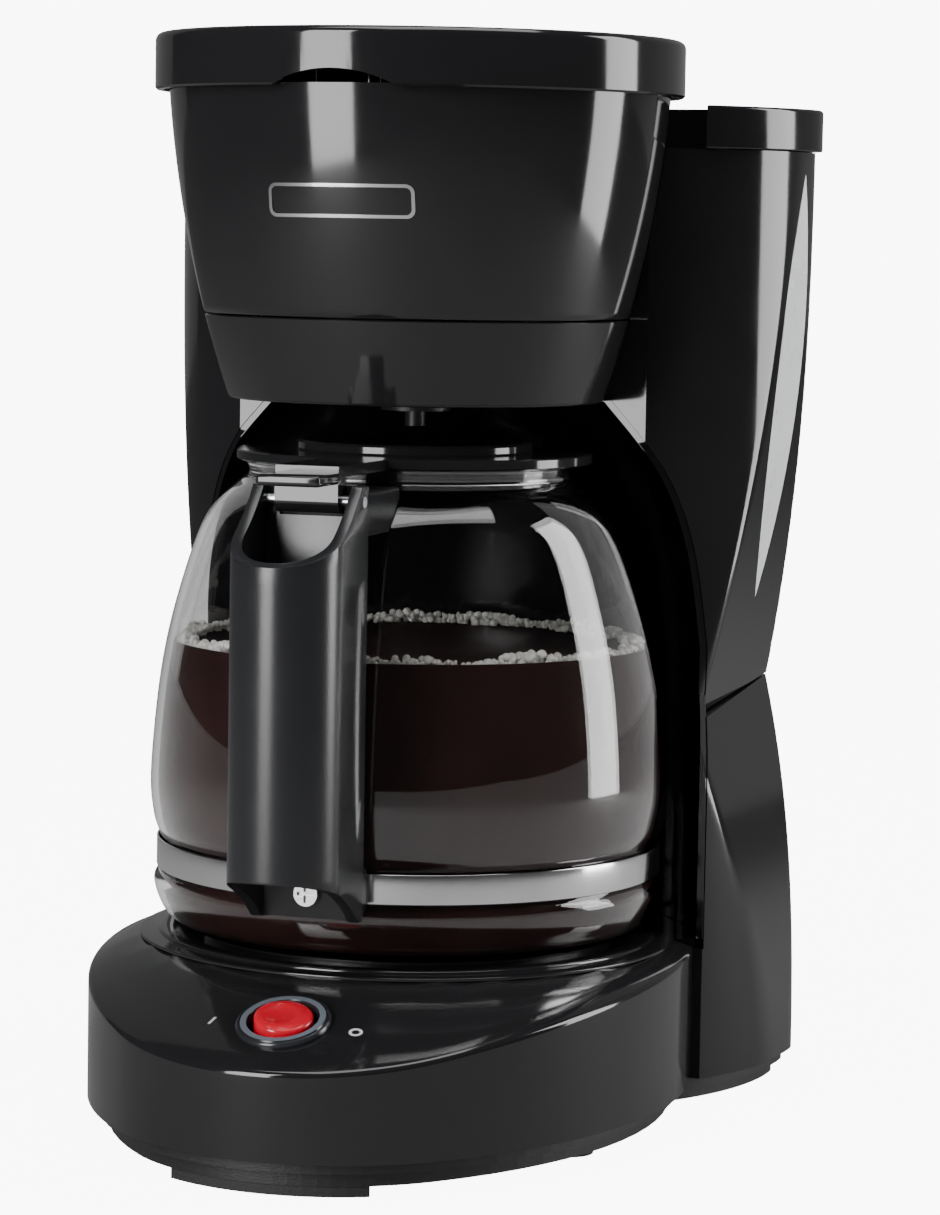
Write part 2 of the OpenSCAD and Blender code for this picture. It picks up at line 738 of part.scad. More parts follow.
module head_upper() {
    color([0.05, 0.05, 0.055]) at_axis() difference() {
        union() {
            difference() {
                head_solid(head_seam_h, head_h, 0);
                head_solid(head_seam_h - 1, head_h + 1, wall);
            }
            // Lugs of the brew lid's hinge
            for (s = [-1, 1]) translate([s * (lid_lug_x + lug_w / 2), 0, 0]) {
                translate([-lug_w / 2, lid_axis_y - 3.4, head_top - 12]) cube([lug_w, 3.4, lid_axis_z - head_top + 12]);
                translate([-lug_w / 2, lid_axis_y, lid_axis_z]) rotate([0, 90, 0]) cylinder(r = 3.4, h = lug_w);
            }
        }
        // Way through for the spout
        translate([0, spout_y, spout_z]) rotate([0, 90, atan2(hose_y - spout_y, riser_x)])
            translate([0, 0, -2]) cylinder(r = spout_r + 0.5, h = 40);
        for (s = [-1, 1]) translate([s * (lid_lug_x + lug_w / 2) - lug_w, lid_axis_y, lid_axis_z])
            rotate([0, 90, 0]) cylinder(r = pin_r, h = 2 * lug_w);
    }
}

// Pins of both hinges, one on each side.
module hinge_pins(x, y, z) {
    color([0.7, 0.7, 0.72]) at_axis() for (s = [-1, 1]) translate([s * (x + lug_w) - lug_w, y, z])
        rotate([0, 90, 0]) cylinder(r = pin_r, h = 2 * lug_w);
}

module brew_lid_pins() {
    hinge_pins(lid_lug_x, lid_axis_y, lid_axis_z);
}

module tank_lid_pins() {
    hinge_pins(tank_lug_x, tank_axis_y, tank_axis_z);
}

// ---------- Lids ----------

// A lid's hinge edge: everything in front of the hinge line or above it, and a
// round nose about the line, so that the edge clears what is under it.
module hinge_side(y, z, r) {
    translate([-BIG / 2, y - BIG, z - BIG / 2]) cube([BIG, BIG, BIG]);
    translate([-BIG / 2, y - 1, z]) cube([BIG, BIG, BIG]);
    translate([-BIG / 2, y, z]) rotate([0, 90, 0]) cylinder(r = r, h = BIG, $fn = 64);
}

// Knuckles beside the lugs, with the pin's running bore.
module knuckles(x, y, z, r, top) {
    difference() {
        for (s = [-1, 1]) translate([s * (x + lug_w + gap + (lug_w - gap) / 2), 0, 0]) translate([-(lug_w - gap) / 2, 0, 0]) {
            translate([0, y, z]) rotate([0, 90, 0]) cylinder(r = r, h = lug_w - gap);
            translate([0, y - r, z]) cube([lug_w - gap, 2 * r, top - z]);
        }
        translate([-BIG / 2, y, z]) rotate([0, 90, 0]) cylinder(r = pin_r + pin_gap, h = BIG);
    }
}

// Running bores of both pins, through all of a lid that they pass.
module pin_bores(x, y, z) {
    for (s = [-1, 1]) translate([s * (x + lug_w) - lug_w - 0.3, y, z])
        rotate([0, 90, 0]) cylinder(r = pin_r + pin_gap, h = 2 * lug_w + 0.6);
}

// Space that a hinge's two lugs need inside a lid.
module lug_room(x, y, z, r) {
    for (s = [-1, 1]) translate([s * (x + lug_w / 2) - lug_w / 2 - gap, 0, 0]) {
        translate([0, y, z]) rotate([0, 90, 0]) cylinder(r = r + gap, h = lug_w + 2 * gap);
        translate([0, y - r - gap, z - 30]) cube([lug_w + 2 * gap, 2 * r + 2 * gap, 30]);
        translate([0, y, z - 30]) cube([lug_w + 2 * gap, 30, 30]);
    }
}

module brew_lid() {
    color([0.05, 0.05, 0.055]) at_axis() {
        difference() {
            intersection() {
                translate([0, 0, lid_z]) cylinder(r = lid_r, h = lid_h, $fn = 120);
                hinge_side(lid_axis_y, lid_axis_z, lid_axis_dz);
                translate([-BIG / 2, -BIG, 0]) cube([BIG, BIG + lid_axis_y + lid_axis_dz, BIG]);
            }
            translate([0, 0, lid_z - 1]) intersection() {
                cylinder(r = lid_r - wall, h = lid_h - wall - 1 + 1, $fn = 120);
                translate([-BIG / 2, -BIG, -1]) cube([BIG, BIG + lid_axis_y + lid_axis_dz - wall, BIG]);
            }
            lug_room(lid_lug_x, lid_axis_y, lid_axis_z, 3.4);
            pin_bores(lid_lug_x, lid_axis_y, lid_axis_z);
            // Notch in the back wall, which clears the spout as the lid opens
            translate([-spout_r - 1.1, lid_axis_y - 0.2, lid_z - 1]) cube([2 * spout_r + 2.2, 12, lid_axis_dz + 1.5]);
            // Finger notch under the front edge
            translate([0, -lid_r - 11, lid_z - 34]) rotate([-90, 0, 0]) cylinder(r = 38.5, h = 15, $fn = 160);
        }
        knuckles(lid_lug_x, lid_axis_y, lid_axis_z, 3.4, lid_top - wall - 0.4);
        // Posts that carry the spray plate
        for (a = [-90, 20, 160]) rotate([0, 0, a]) translate([42, 0, spray_z + 1.6])
            cylinder(r = 2.5, h = lid_top - wall - 0.5 - spray_z - 1.6);
    }
}

// Plate with a ring of holes, which spreads the water over the grounds.
module spray_plate() {
    color([0.12, 0.12, 0.12]) at_axis() difference() {
        translate([0, 0, spray_z]) cylinder(r = 50, h = 1.6);
        for (r = [14, 26, 37], a = [0:30:359]) rotate([0, 0, a + r]) translate([r, 0, spray_z - 1]) cylinder(r = 1.2, h = 4, $fn = 24);
    }
}

module tank_lid() {
    back = tower_back + lid_over;
    color([0.05, 0.05, 0.055]) at_axis() {
        difference() {
            intersection() {
                translate([0, 0, tank_lid_z]) linear_extrude(tank_lid_h) tower_plan(-lid_over, split_y);
                hinge_side(tank_axis_y, tank_axis_z, tank_axis_dz);
            }
            translate([-tank_cut_x, -BIG + tank_cut_y, 0]) cube([2 * tank_cut_x, BIG, BIG]);
            // Hollow under the top
            difference() {
                translate([0, 0, tank_lid_z - 1]) linear_extrude(tank_lid_h - wall + 1) tower_plan(wall - lid_over, split_y + wall);
                translate([-tank_cut_x - wall, -BIG + tank_cut_y + wall, 0]) cube([2 * (tank_cut_x + wall), BIG, BIG]);
            }
            lug_room(tank_lug_x, tank_axis_y, tank_axis_z, 3.4);
            pin_bores(tank_lug_x, tank_axis_y, tank_axis_z);
        }
        knuckles(tank_lug_x, tank_axis_y, tank_axis_z, 3.4, tank_lid_top - wall + 0.5);
    }
}

// ---------- Filter basket ----------

module filter_basket() {
    floor_t = 2;
    color([0.08, 0.08, 0.08]) at_axis() translate([0, 0, basket_z]) difference() {
        union() {
            rotate_extrude() polygon([[0, 0], [basket_low_r, 0], [basket_top_r, basket_h - 2], [basket_top_r + 2, basket_h - 2],
                [basket_top_r + 2, basket_h], [basket_top_r - 2, basket_h], [basket_low_r - 2, floor_t], [0, floor_t]]);
            translate([0, 0, -6]) cylinder(r = 10, h = 8);
            for (a = [0:45:359]) rotate([0, 0, a]) translate([12, -0.75, floor_t - 0.5]) cube([22, 1.5, 3.5]);
        }
        translate([0, 0, -3]) cylinder(r = 7.6, h = 20);
        translate([0, 0, -7]) cylinder(r = stem_r + 1.6, h = 20);
    }
}

// Valve at the basket's outlet: the carafe's lid pushes the stem up to open it.
module drip_stop() {
    color([0.15, 0.15, 0.15]) at_axis() translate([0, 0, basket_z]) {
        translate([0, 0, stem_low]) cylinder(r = stem_r, h = 4 - stem_low);
        translate([0, 0, -1.6]) cylinder(r = 6.8, h = 2);
        translate([0, 0, 3.9]) cylinder(r = 2, h = 8);
    }
}

stem_low = -10.5;

module drip_seal() {
    color([0.75, 0.3, 0.2]) at_axis() translate([0, 0, basket_z - 3]) tube(6.6, stem_r, 1.3);
}

// Coil spring between the valve's collar and the bridge over it.
module drip_spring() {
    turns = 4;
    r = 5;
    color([0.7, 0.7, 0.72]) at_axis() translate([0, 0, basket_z + 0.5]) for (i = [0:turns - 1])
        translate([0, 0, 1 + i * 2.1]) rotate_extrude() translate([r, 0]) circle(r = 0.4, $fn = 16);
}

// Bridge that snaps over the outlet and holds the spring down.
module spring_bridge() {
    color([0.08, 0.08, 0.08]) at_axis() translate([0, 0, basket_z + 2]) difference() {
        cylinder(r = 10, h = 12);
        translate([0, 0, -1]) cylinder(r = 7.6, h = 11);
        translate([0, 0, 5]) cylinder(r = 2.5, h = 10);
        for (a = [0, 90]) rotate([0, 0, a]) translate([-20, -4, 0.5]) cube([40, 8, 7]);
    }
}

// ---------- Carafe ----------

// Outside of the glass from its foot to its rim.
function glass_side() = let(r = glass_r, h = glass_h) curve([[r - 12, 0], [r - 4.7, 4.5], [r - 1.2, 13], [r - 3, 18],
    [r - 3, 25.5], [r - 0.8, 33], [r, 46], [r - 2.6, h * 0.55], [r - 7.5, h * 0.72], [r - 15, h * 0.88],
    [rim_r + 2, h * 0.955], [rim_r - 1, h * 0.975], [rim_r, h]]);

module carafe_glass() {
    outer = glass_side();
    inner = [for (p = outer) [p[0] - glass_t, max(p[1], glass_t * 1.4)]];
    back = [for (i = [len(inner) - 1:-1:0]) inner[i]];
    color([0.8, 0.85, 0.87, 0.35]) at_axis() translate([0, 0, glass_z]) rotate_extrude($fn = 120)
        polygon(concat([[0, 0]], outer, back, [[0, glass_t * 1.4]]));
}

// Polished band in the groove of the glass.
module carafe_band() {
    color([0.85, 0.85, 0.87]) at_axis() translate([0, 0, band_z]) tube(band_r + band_t, band_r, band_h);
}

// Hollow grip that stands in front of the glass, with a flank to the neck and
// an arm to the band.
grip_low = glass_z + 15;
grip_top = rim_z - 2;
grip_back = glass_r + 6;
module carafe_handle() {
    color([0.09, 0.09, 0.095]) at_axis() difference() {
        union() {
            translate([0, 0, grip_low]) linear_extrude(grip_top - grip_low) grip_plan(0);
            // Arm to the neck
            translate([-13, -grip_back - 2, rim_z - 16]) cube([26, grip_back + 2 - rim_r - 1, 12]);
            // Foot to the band
            translate([-13, -grip_back - 2, band_z - 2]) cube([26, grip_back + 2 - band_r, band_h + 4]);
        }
        // Hollow of the grip, open at both ends
        translate([0, 0, grip_low - 1]) linear_extrude(grip_top - grip_low + 2) grip_plan(3);
        at_pin() rotate([0, 90, 0]) cylinder(r = pin_r, h = grip_w + 2, center = true);
        translate([-9.5, pin_y - 4.2, pin_z - 4.2]) cube([19, 8.4, 30]);
        glass_room(0.3);
        translate([0, 0, band_z - 0.2]) cylinder(r = band_r + band_t + 0.02, h = band_h + 0.4, $fn = 120);
        translate([0, -grip_back - 10, band_z + band_h / 2]) rotate([-90, 0, 0]) cylinder(r = 1.6, h = 20);
    }
}

// Section of the grip: round at the front, flat towards the glass.
module grip_plan(inset) {
    w = grip_w / 2 - inset;
    front = grip_reach - grip_w / 2;
    translate([0, -front]) circle(r = w);
    translate([-w, -front]) square([2 * w, front - grip_back - inset]);
}

// Space of the glass, grown outward.
module glass_room(grow) {
    side = [for (p = glass_side()) [p[0] + grow, p[1] + glass_z]];
    rotate_extrude($fn = 120) polygon(concat([[0, glass_z - 5], [side[0][0], glass_z - 5]], side, [[rim_r + grow, rim_z + 5], [0, rim_z + 5]]));
}

// Line of the carafe lid's hinge, across the top of the handle.
pin_y = -(grip_back + 5);
pin_z = rim_z - 6;
module at_pin() {
    translate([0, pin_y, pin_z]) children();
}

module carafe_lid_pin() {
    color([0.7, 0.7, 0.72]) at_axis() at_pin() rotate([0, 90, 0]) cylinder(r = pin_r, h = grip_w, center = true);
}

// Lid with a drain dish, a skirt inside the neck and a thumb lever.
module carafe_lid() {
    color([0.05, 0.05, 0.05]) at_axis() difference() {
        union() {
            translate([0, 0, rim_z + 0.4]) cylinder(r = rim_r + 2.5, h = 3);
            translate([0, 0, rim_z + 3.3]) cylinder(r = 34, h = 3);
            translate([0, 0, rim_z - 6]) cylinder(r = rim_r - glass_t - 1.2, h = 7);
            // Bridge from the disc to the hinge, and the lever in front of it
            translate([-9, pin_y - 3, rim_z + 0.4]) cube([18, -pin_y + 3 - rim_r + 6, 3]);
            at_pin() rotate([0, 90, 0]) cylinder(r = 3.4, h = 18, center = true);
            translate([-9, pin_y - 3.4, pin_z]) cube([18, 6.8, 6.5]);
            translate([-9, pin_y - 18, rim_z - 1.4]) cube([18, 18, 3]);
        }
        at_pin() rotate([0, 90, 0]) cylinder(r = pin_r + pin_gap, h = 60, center = true);
        translate([0, 0, rim_z + 25.8]) sphere(r = 23, $fn = 120);
        translate([0, 0, rim_z - 8]) cylinder(r = rim_r - glass_t - 3.2, h = 7.5);
        translate([0, 0, rim_z - 9]) cylinder(r = 4, h = 20);
    }
}

module band_screw() {
    color([0.7, 0.7, 0.72]) at_axis() translate([0, -grip_back - 3, band_z + band_h / 2]) rotate([-90, 0, 0])
        screw(1.6, grip_back + 3 - band_r - band_t, 3.4, 2);
}

base_housing();
base_plate();
feet();
base_screws();
plate_ring();
warming_plate();
heating_element();
element_bracket();
bracket_stud();
thermostat();
thermal_fuse();
switch_bezel();
switch_body();
rocker_button();
switch_leads();
tower_lower();
tower_upper();
bay_wall_panel();
water_window();
water_tank();
check_valve();
valve_ball();
inlet_hose();
riser_hose();
hose_clamps();
water_spout();
tower_screws();
cord_gland();
head_lower();
head_upper();
brew_lid_pins();
tank_lid_pins();
brew_lid();
spray_plate();
tank_lid();
filter_basket();
drip_stop();
drip_seal();
drip_spring();
spring_bridge();
carafe_glass();
carafe_band();
carafe_handle();
carafe_lid_pin();
carafe_lid();
band_screw();
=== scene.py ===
"""Looks of the drip coffee maker: glossy black housings, a glass carafe with coffee, a steel band and a red rocker."""
import math
import random

import bpy
from mathutils import Matrix, Vector


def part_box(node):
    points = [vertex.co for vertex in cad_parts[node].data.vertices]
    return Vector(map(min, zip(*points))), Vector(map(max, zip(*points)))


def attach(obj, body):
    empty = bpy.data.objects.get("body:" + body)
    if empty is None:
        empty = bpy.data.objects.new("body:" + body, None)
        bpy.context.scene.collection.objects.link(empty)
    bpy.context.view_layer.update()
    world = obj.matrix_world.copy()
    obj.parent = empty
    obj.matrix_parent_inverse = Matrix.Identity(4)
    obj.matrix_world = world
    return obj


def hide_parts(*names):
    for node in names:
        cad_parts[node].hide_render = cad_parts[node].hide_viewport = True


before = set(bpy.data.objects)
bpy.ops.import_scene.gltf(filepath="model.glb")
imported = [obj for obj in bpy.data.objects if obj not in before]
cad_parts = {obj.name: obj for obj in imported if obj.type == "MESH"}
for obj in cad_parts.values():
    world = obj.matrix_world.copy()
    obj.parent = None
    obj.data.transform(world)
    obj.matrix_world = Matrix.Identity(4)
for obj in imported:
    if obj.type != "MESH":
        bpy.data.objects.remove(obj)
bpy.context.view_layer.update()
MM = 0.001


# ---------- Places, read from the frame ----------

def low(node):
    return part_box(node)[0]


def high(node):
    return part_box(node)[1]


def middle(node, i):
    return (low(node)[i] + high(node)[i]) / 2


AXIS_Y = middle("warming_plate", 1)
DECK_Z = high("base_housing")[2]
TRAY_Z = low("base_housing")[2]
PLATE_Z = high("warming_plate")[2]
GLASS_Z = low("carafe_glass")[2]
RIM_Z = high("carafe_glass")[2]
HEAD_Z = low("head_lower")[2]
SEAM_Z = high("head_lower")[2]
LID_Z = low("brew_lid")[2]
LID_TOP = high("brew_lid")[2]
TANK_LID_Z = low("tank_lid")[2]
TANK_LID_TOP = high("tank_lid")[2]
HEAD_TOP = LID_Z - 0.3 * MM
TOWER_TOP = TANK_LID_Z - 0.3 * MM
GLASS_R = high("carafe_glass")[0]
BASE_FRONT = AXIS_Y - low("base_housing")[1]
TOWER_BACK = high("tower_lower")[1] - AXIS_Y
WALL = 2.5 * MM
PANEL_SLOPE = math.radians(20)
WAIST_SLOPE = math.radians(6.3)
STEP_R = 78 * MM
BAY_R = 84 * MM
SPLIT_Y = 22 * MM


# ---------- Small mesh tools ----------

def select_only(obj):
    bpy.ops.object.select_all(action="DESELECT")
    obj.select_set(True)
    bpy.context.view_layer.objects.active = obj


def mesh_object(name, verts, faces, edges=()):
    mesh = bpy.data.meshes.new(name)
    mesh.from_pydata([tuple(v) for v in verts], list(edges), faces)
    obj = bpy.data.objects.new(name, mesh)
    bpy.context.collection.objects.link(obj)
    return obj


def new_piece(name, add, **settings):
    """Adds a primitive, or a text, with nothing else selected."""
    bpy.ops.object.select_all(action="DESELECT")
    add(**settings)
    obj = bpy.context.active_object
    obj.name = name
    return obj


def clean(obj, merge=1e-6):
    select_only(obj)
    bpy.ops.object.mode_set(mode="EDIT")
    bpy.ops.mesh.select_all(action="SELECT")
    bpy.ops.mesh.remove_doubles(threshold=merge)
    bpy.ops.mesh.normals_make_consistent(inside=False)
    bpy.ops.object.mode_set(mode="OBJECT")


def smooth(obj, angle=32):
    select_only(obj)
    bpy.ops.object.shade_smooth_by_angle(angle=math.radians(angle))


def apply(obj, kind, **settings):
    select_only(obj)
    modifier = obj.modifiers.new(kind.lower(), kind)
    for key, value in settings.items():
        setattr(modifier, key, value)
    bpy.ops.object.modifier_apply(modifier=modifier.name)


def cut(obj, tool, operation="DIFFERENCE", keep=False):
    apply(obj, "BOOLEAN", object=tool, operation=operation, solver="MANIFOLD")
    if not keep:
        bpy.data.objects.remove(tool, do_unlink=True)


def bake_place(obj):
    select_only(obj)
    bpy.ops.object.transform_apply(location=True, rotation=True, scale=True)


def lathe(name, profile, steps=160, centre_y=None):
    """A profile of (radius, height) points spun about the carafe's axis."""
    y = AXIS_Y if centre_y is None else centre_y
    verts = [(r, y, z) for r, z in profile]
    edges = [(i, i + 1) for i in range(len(verts) - 1)]
    obj = mesh_object(name, verts, [], edges)
    select_only(obj)
    bpy.ops.object.mode_set(mode="EDIT")
    bpy.ops.mesh.select_all(action="SELECT")
    bpy.ops.mesh.spin(steps=steps, angle=2 * math.pi, center=(0, y, 0), axis=(0, 0, 1))
    bpy.ops.object.mode_set(mode="OBJECT")
    clean(obj, 2e-6)
    return obj


def loft(name, rings):
    """Closed rings of the same length joined one to the next, with flat ends."""
    count = len(rings[0])
    verts = [p for ring in rings for p in ring]
    faces = []
    for k in range(len(rings) - 1):
        for i in range(count):
            j = (i + 1) % count
            faces.append((k * count + i, k * count + j, (k + 1) * count + j, (k + 1) * count + i))
    faces.append(tuple(reversed(range(count))))
    faces.append(tuple(range((len(rings) - 1) * count, len(rings) * count)))
    obj = mesh_object(name, verts, faces)
    clean(obj, 1e-7)
    return obj


def round_corner(r, z, turn, radius, start, steps=5):
    """Points of a small fillet: centre (r, z), from angle start, turning by turn degrees."""
    return [(r + radius * math.cos(math.radians(start + turn * i / steps)),
             z + radius * math.sin(math.radians(start + turn * i / steps))) for i in range(steps + 1)]


def catmull(points, n=6):
    out = []
    last = len(points) - 1
    for i in range(last):
        a, b, c, d = points[max(i - 1, 0)], points[i], points[i + 1], points[min(i + 2, last)]
        for k in range(n):
            t = k / n
            out.append(tuple(0.5 * (2 * q + (r - p) * t + (2 * p - 5 * q + 4 * r - s) * t * t
                                    + (3 * q - p - 3 * r + s) * t ** 3) for p, q, r, s in zip(a, b, c, d)))
    out.append(tuple(points[-1]))
    return out


# ---------- Materials ----------

def shader(name, colour, rough, bump=0.0, bump_scale=900.0, rough_spread=0.03, **sockets):
    """A moulded or metal finish with fine uneven gloss and a slight surface ripple."""
    mat = bpy.data.materials.new(name)
    mat.use_nodes = True
    nodes, links = mat.node_tree.nodes, mat.node_tree.links
    base = nodes["Principled BSDF"]
    base.inputs["Roughness"].default_value = rough
    coords = nodes.new("ShaderNodeTexCoord")
    noise = nodes.new("ShaderNodeTexNoise")
    noise.inputs["Scale"].default_value = 60
    noise.inputs["Detail"].default_value = 3
    links.new(coords.outputs["Object"], noise.inputs["Vector"])
    tint = nodes.new("ShaderNodeMixRGB")
    tint.inputs[1].default_value = (*[c * 0.86 for c in colour], 1)
    tint.inputs[2].default_value = (*[min(1, c * 1.12) for c in colour], 1)
    links.new(noise.outputs["Fac"], tint.inputs[0])
    links.new(tint.outputs[0], base.inputs["Base Color"])
    spread = nodes.new("ShaderNodeMapRange")
    spread.inputs["To Min"].default_value = max(0.0, rough - rough_spread)
    spread.inputs["To Max"].default_value = rough + rough_spread
    links.new(noise.outputs["Fac"], spread.inputs["Value"])
    links.new(spread.outputs[0], base.inputs["Roughness"])
    if bump:
        grain = nodes.new("ShaderNodeTexNoise")
        grain.inputs["Scale"].default_value = bump_scale
        grain.inputs["Detail"].default_value = 2
        links.new(coords.outputs["Object"], grain.inputs["Vector"])
        relief = nodes.new("ShaderNodeBump")
        relief.inputs["Strength"].default_value = bump
        relief.inputs["Distance"].default_value = 0.0002
        links.new(grain.outputs["Fac"], relief.inputs["Height"])
        links.new(relief.outputs[0], base.inputs["Normal"])
    for key, value in sockets.items():
        base.inputs[key.replace("_", " ")].default_value = value
    return mat


GLOSS = shader("gloss_black_moulding", (0.012, 0.012, 0.013), 0.09, bump=0.04, bump_scale=110, IOR=1.52)
BAY_GLOSS = shader("gloss_black_bay", (0.006, 0.006, 0.007), 0.07, bump=0.05, bump_scale=60)
MATTE = shader("matte_black_moulding", (0.014, 0.014, 0.014), 0.45, bump=0.35, bump_scale=1600)
SATIN = shader("satin_grip", (0.016, 0.0165, 0.018), 0.25, bump=0.12, bump_scale=2200, rough_spread=0.05)
RUBBER = shader("foot_rubber", (0.02, 0.02, 0.02), 0.7, bump=0.5, bump_scale=1500)
PLATE = shader("coated_plate", (0.02, 0.02, 0.021), 0.32, bump=0.5, bump_scale=1200)
STEEL = shader("machined_steel", (0.55, 0.55, 0.57), 0.28, bump=0.2, bump_scale=900, Metallic=1.0)
BAND = shader("polished_band", (0.86, 0.86, 0.87), 0.12, bump=0.05, bump_scale=400, Metallic=1.0)
CAST = shader("cast_aluminium", (0.62, 0.62, 0.64), 0.42, bump=0.6, bump_scale=700, Metallic=1.0)
RED = shader("red_rocker", (0.62, 0.008, 0.025), 0.16, bump=0.03, bump_scale=300)
BEZEL = shader("bezel_grey", (0.02, 0.021, 0.025), 0.2, bump=0.05)
SILICONE = shader("silicone_hose", (0.7, 0.69, 0.64), 0.5, bump=0.2, Transmission_Weight=0.25)
SEAL = shader("seal_rubber", (0.45, 0.09, 0.04), 0.6, bump=0.3)
PALE = shader("pale_nylon", (0.72, 0.71, 0.67), 0.42, bump=0.2)
SMOKE = shader("smoke_tank", (0.3, 0.31, 0.33), 0.3, bump=0.1, Transmission_Weight=0.6, IOR=1.46)
FROSTED = shader("frosted_window", (0.86, 0.87, 0.88), 0.28, bump=0.12, bump_scale=500, IOR=1.49)
PRINT = shader("pale_print", (0.62, 0.62, 0.62), 0.45)
SCALE_PRINT = shader("scale_print", (0.33, 0.33, 0.34), 0.4)
COFFEE = shader("black_coffee", (0.028, 0.012, 0.011), 0.35, rough_spread=0.01, IOR=1.1)
FOAM = shader("foam_bubble", (0.95, 0.91, 0.86), 0.14, Transmission_Weight=0.1, IOR=1.3)
CLEAR = shader("clear_glass", (0.99, 0.995, 0.99), 0.004, rough_spread=0.003, Transmission_Weight=1.0, IOR=1.46)
INLAY = shader("bezel_inlay", (0.13, 0.15, 0.18), 0.3, bump=0.05)

NODE_FINISH = {
    MATTE: "base_plate filter_basket drip_stop spring_bridge switch_body spray_plate water_spout",
    RUBBER: "feet cord_gland",
    PLATE: "warming_plate",
    CAST: "heating_element element_bracket thermostat",
    STEEL: "base_screws bracket_stud tower_screws brew_lid_pins tank_lid_pins carafe_lid_pin band_screw "
           "drip_spring valve_ball hose_clamps",
    SILICONE: "inlet_hose riser_hose",
    SEAL: "drip_seal",
    PALE: "check_valve thermal_fuse switch_leads",
    SMOKE: "water_tank",
    GLOSS: "base_housing tower_lower tower_upper head_lower head_upper brew_lid tank_lid plate_ring carafe_lid",
    BAY_GLOSS: "bay_wall_panel",
    SATIN: "carafe_handle",
    BEZEL: "switch_bezel",
    RED: "rocker_button",
    FROSTED: "water_window",
    BAND: "carafe_band",
    CLEAR: "carafe_glass",
}


def finish_nodes():
    for finish, names in NODE_FINISH.items():
        for name in names.split():
            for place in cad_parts[name].material_slots:
                place.material = finish


def dress(obj, finish, body, node=None):
    """Gives a finished piece its one material and its body, and hides the CAD node it stands for."""
    obj.data.materials.clear()
    obj.data.materials.append(finish)
    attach(obj, body)
    if node:
        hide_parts(node)
    return obj


# ---------- Outlines, as on the frame ----------

def arc(centre, r, a0, a1, n):
    return [(centre[0] + r * math.cos(a0 + (a1 - a0) * i / n), centre[1] + r * math.sin(a0 + (a1 - a0) * i / n))
            for i in range(n + 1)]


def cross_point(p, rp, q, rq):
    d = math.dist(p, q)
    a = (rp * rp - rq * rq + d * d) / (2 * d)
    h = math.sqrt(rp * rp - a * a)
    ux, uy = (q[0] - p[0]) / d, (q[1] - p[1]) / d
    return (p[0] + a * ux - h * uy, p[1] + a * uy + h * ux)


TOWER_W = 197 * MM
WAIST_W = 164 * MM
FOOT_W = 196 * MM
WAIST_Z = 114 * MM
WAIST_MID = WAIST_Z + 7 * MM
SIDE_R, SIDE_Y, LOW_SIDE_R, LOW_SIDE_Y = 64 * MM, 80 * MM, 91 * MM, 72 * MM
BACK_R, CORNER_R = 260 * MM, 22 * MM
FLARE = math.tan(math.radians(4))
SIDE_TOP = TOWER_TOP + 12 * MM
WINDOW_Y, WINDOW_HALF = 66 * MM, 11 * MM
HEAD_H = 88 * MM
HEAD_LOW_R, HEAD_TOP_R, HEAD_SEAM = 53.7 * MM, 71.5 * MM, 24 * MM
SWITCH_Y = -(BASE_FRONT + STEP_R) / 2
SEAM_GROOVE = 0.35 * MM
LUG_W = 9 * MM
EYE_R = 3.4 * MM
LUG_BORE_R, LID_BORE_R = 1.52 * MM, 1.56 * MM


def half_width(z, upper):
    """Half width of the tower on its side curve, at its widest depth."""
    wide, z0 = (TOWER_W / 2, SIDE_TOP) if upper else (FOOT_W / 2, 0.0)
    drop = wide - WAIST_W / 2
    run = abs(z0 - WAIST_MID)
    r = (run * run + drop * drop) / (2 * drop)
    return wide - r + math.sqrt(r * r - (z - z0) ** 2)


def soft_min(a, b, k=1.2 * MM):
    h = max(k - abs(a - b), 0) / k
    return min(a, b) - h * h * k / 4


def tower_ring(z, inset, upper, clip=True, front=SPLIT_Y):
    side_r = SIDE_R if upper else LOW_SIDE_R
    side = (TOWER_W / 2 + 1 * MM - SIDE_R, SIDE_Y) if upper else (FOOT_W / 2 - LOW_SIDE_R, LOW_SIDE_Y)
    back = (0.0, TOWER_BACK - BACK_R)
    corner = cross_point(side, side_r - CORNER_R, back, BACK_R - CORNER_R)
    a0 = math.asin((front + inset - side[1]) / (side_r - inset))
    a1 = math.atan2(corner[1] - side[1], corner[0] - side[0])
    a2 = math.atan2(corner[1] - back[1], corner[0] - back[0])
    right = arc(side, side_r - inset, a0, a1, 54)
    right += arc(corner, CORNER_R - inset, a1, a2, 22)[1:]
    right += arc(back, BACK_R - inset, a2, math.pi / 2, 26)[1:]
    if clip:
        wide = half_width(z, upper) - inset
        right = [(soft_min(x, wide - FLARE * (SIDE_Y - y)), y) for x, y in right]
    left = [(-x, y) for x, y in reversed(right[:-1])]
    return [(x, y + AXIS_Y, z) for x, y in right + left]


def side_x(y, z):
    """Outside of the upper tower's right side at a depth and height."""
    x = TOWER_W / 2 + 1 * MM - SIDE_R + math.sqrt(SIDE_R ** 2 - (y - SIDE_Y) ** 2)
    return soft_min(x, half_width(z, True) - FLARE * (SIDE_Y - y))


def base_ring(z, inset):
    nose_r, side_y = 64 * MM, -10 * MM
    half = 84 * MM
    nose_y = -(BASE_FRONT - nose_r)
    k = half - nose_r
    c = ((side_y - nose_y) ** 2 - k * k) / (2 * k)
    r = half + c - inset
    turn = math.atan2(nose_y - side_y, c)
    right = arc((0, nose_y), nose_r - inset, -math.pi / 2, turn, 60)
    right += arc((-c, side_y), r, turn, math.asin((SPLIT_Y - side_y) / r), 50)[1:]
    left = [(-x, y) for x, y in reversed(right)]
    return [(x, y + AXIS_Y, z(x, y) if callable(z) else z) for x, y in right + left[:-1]]


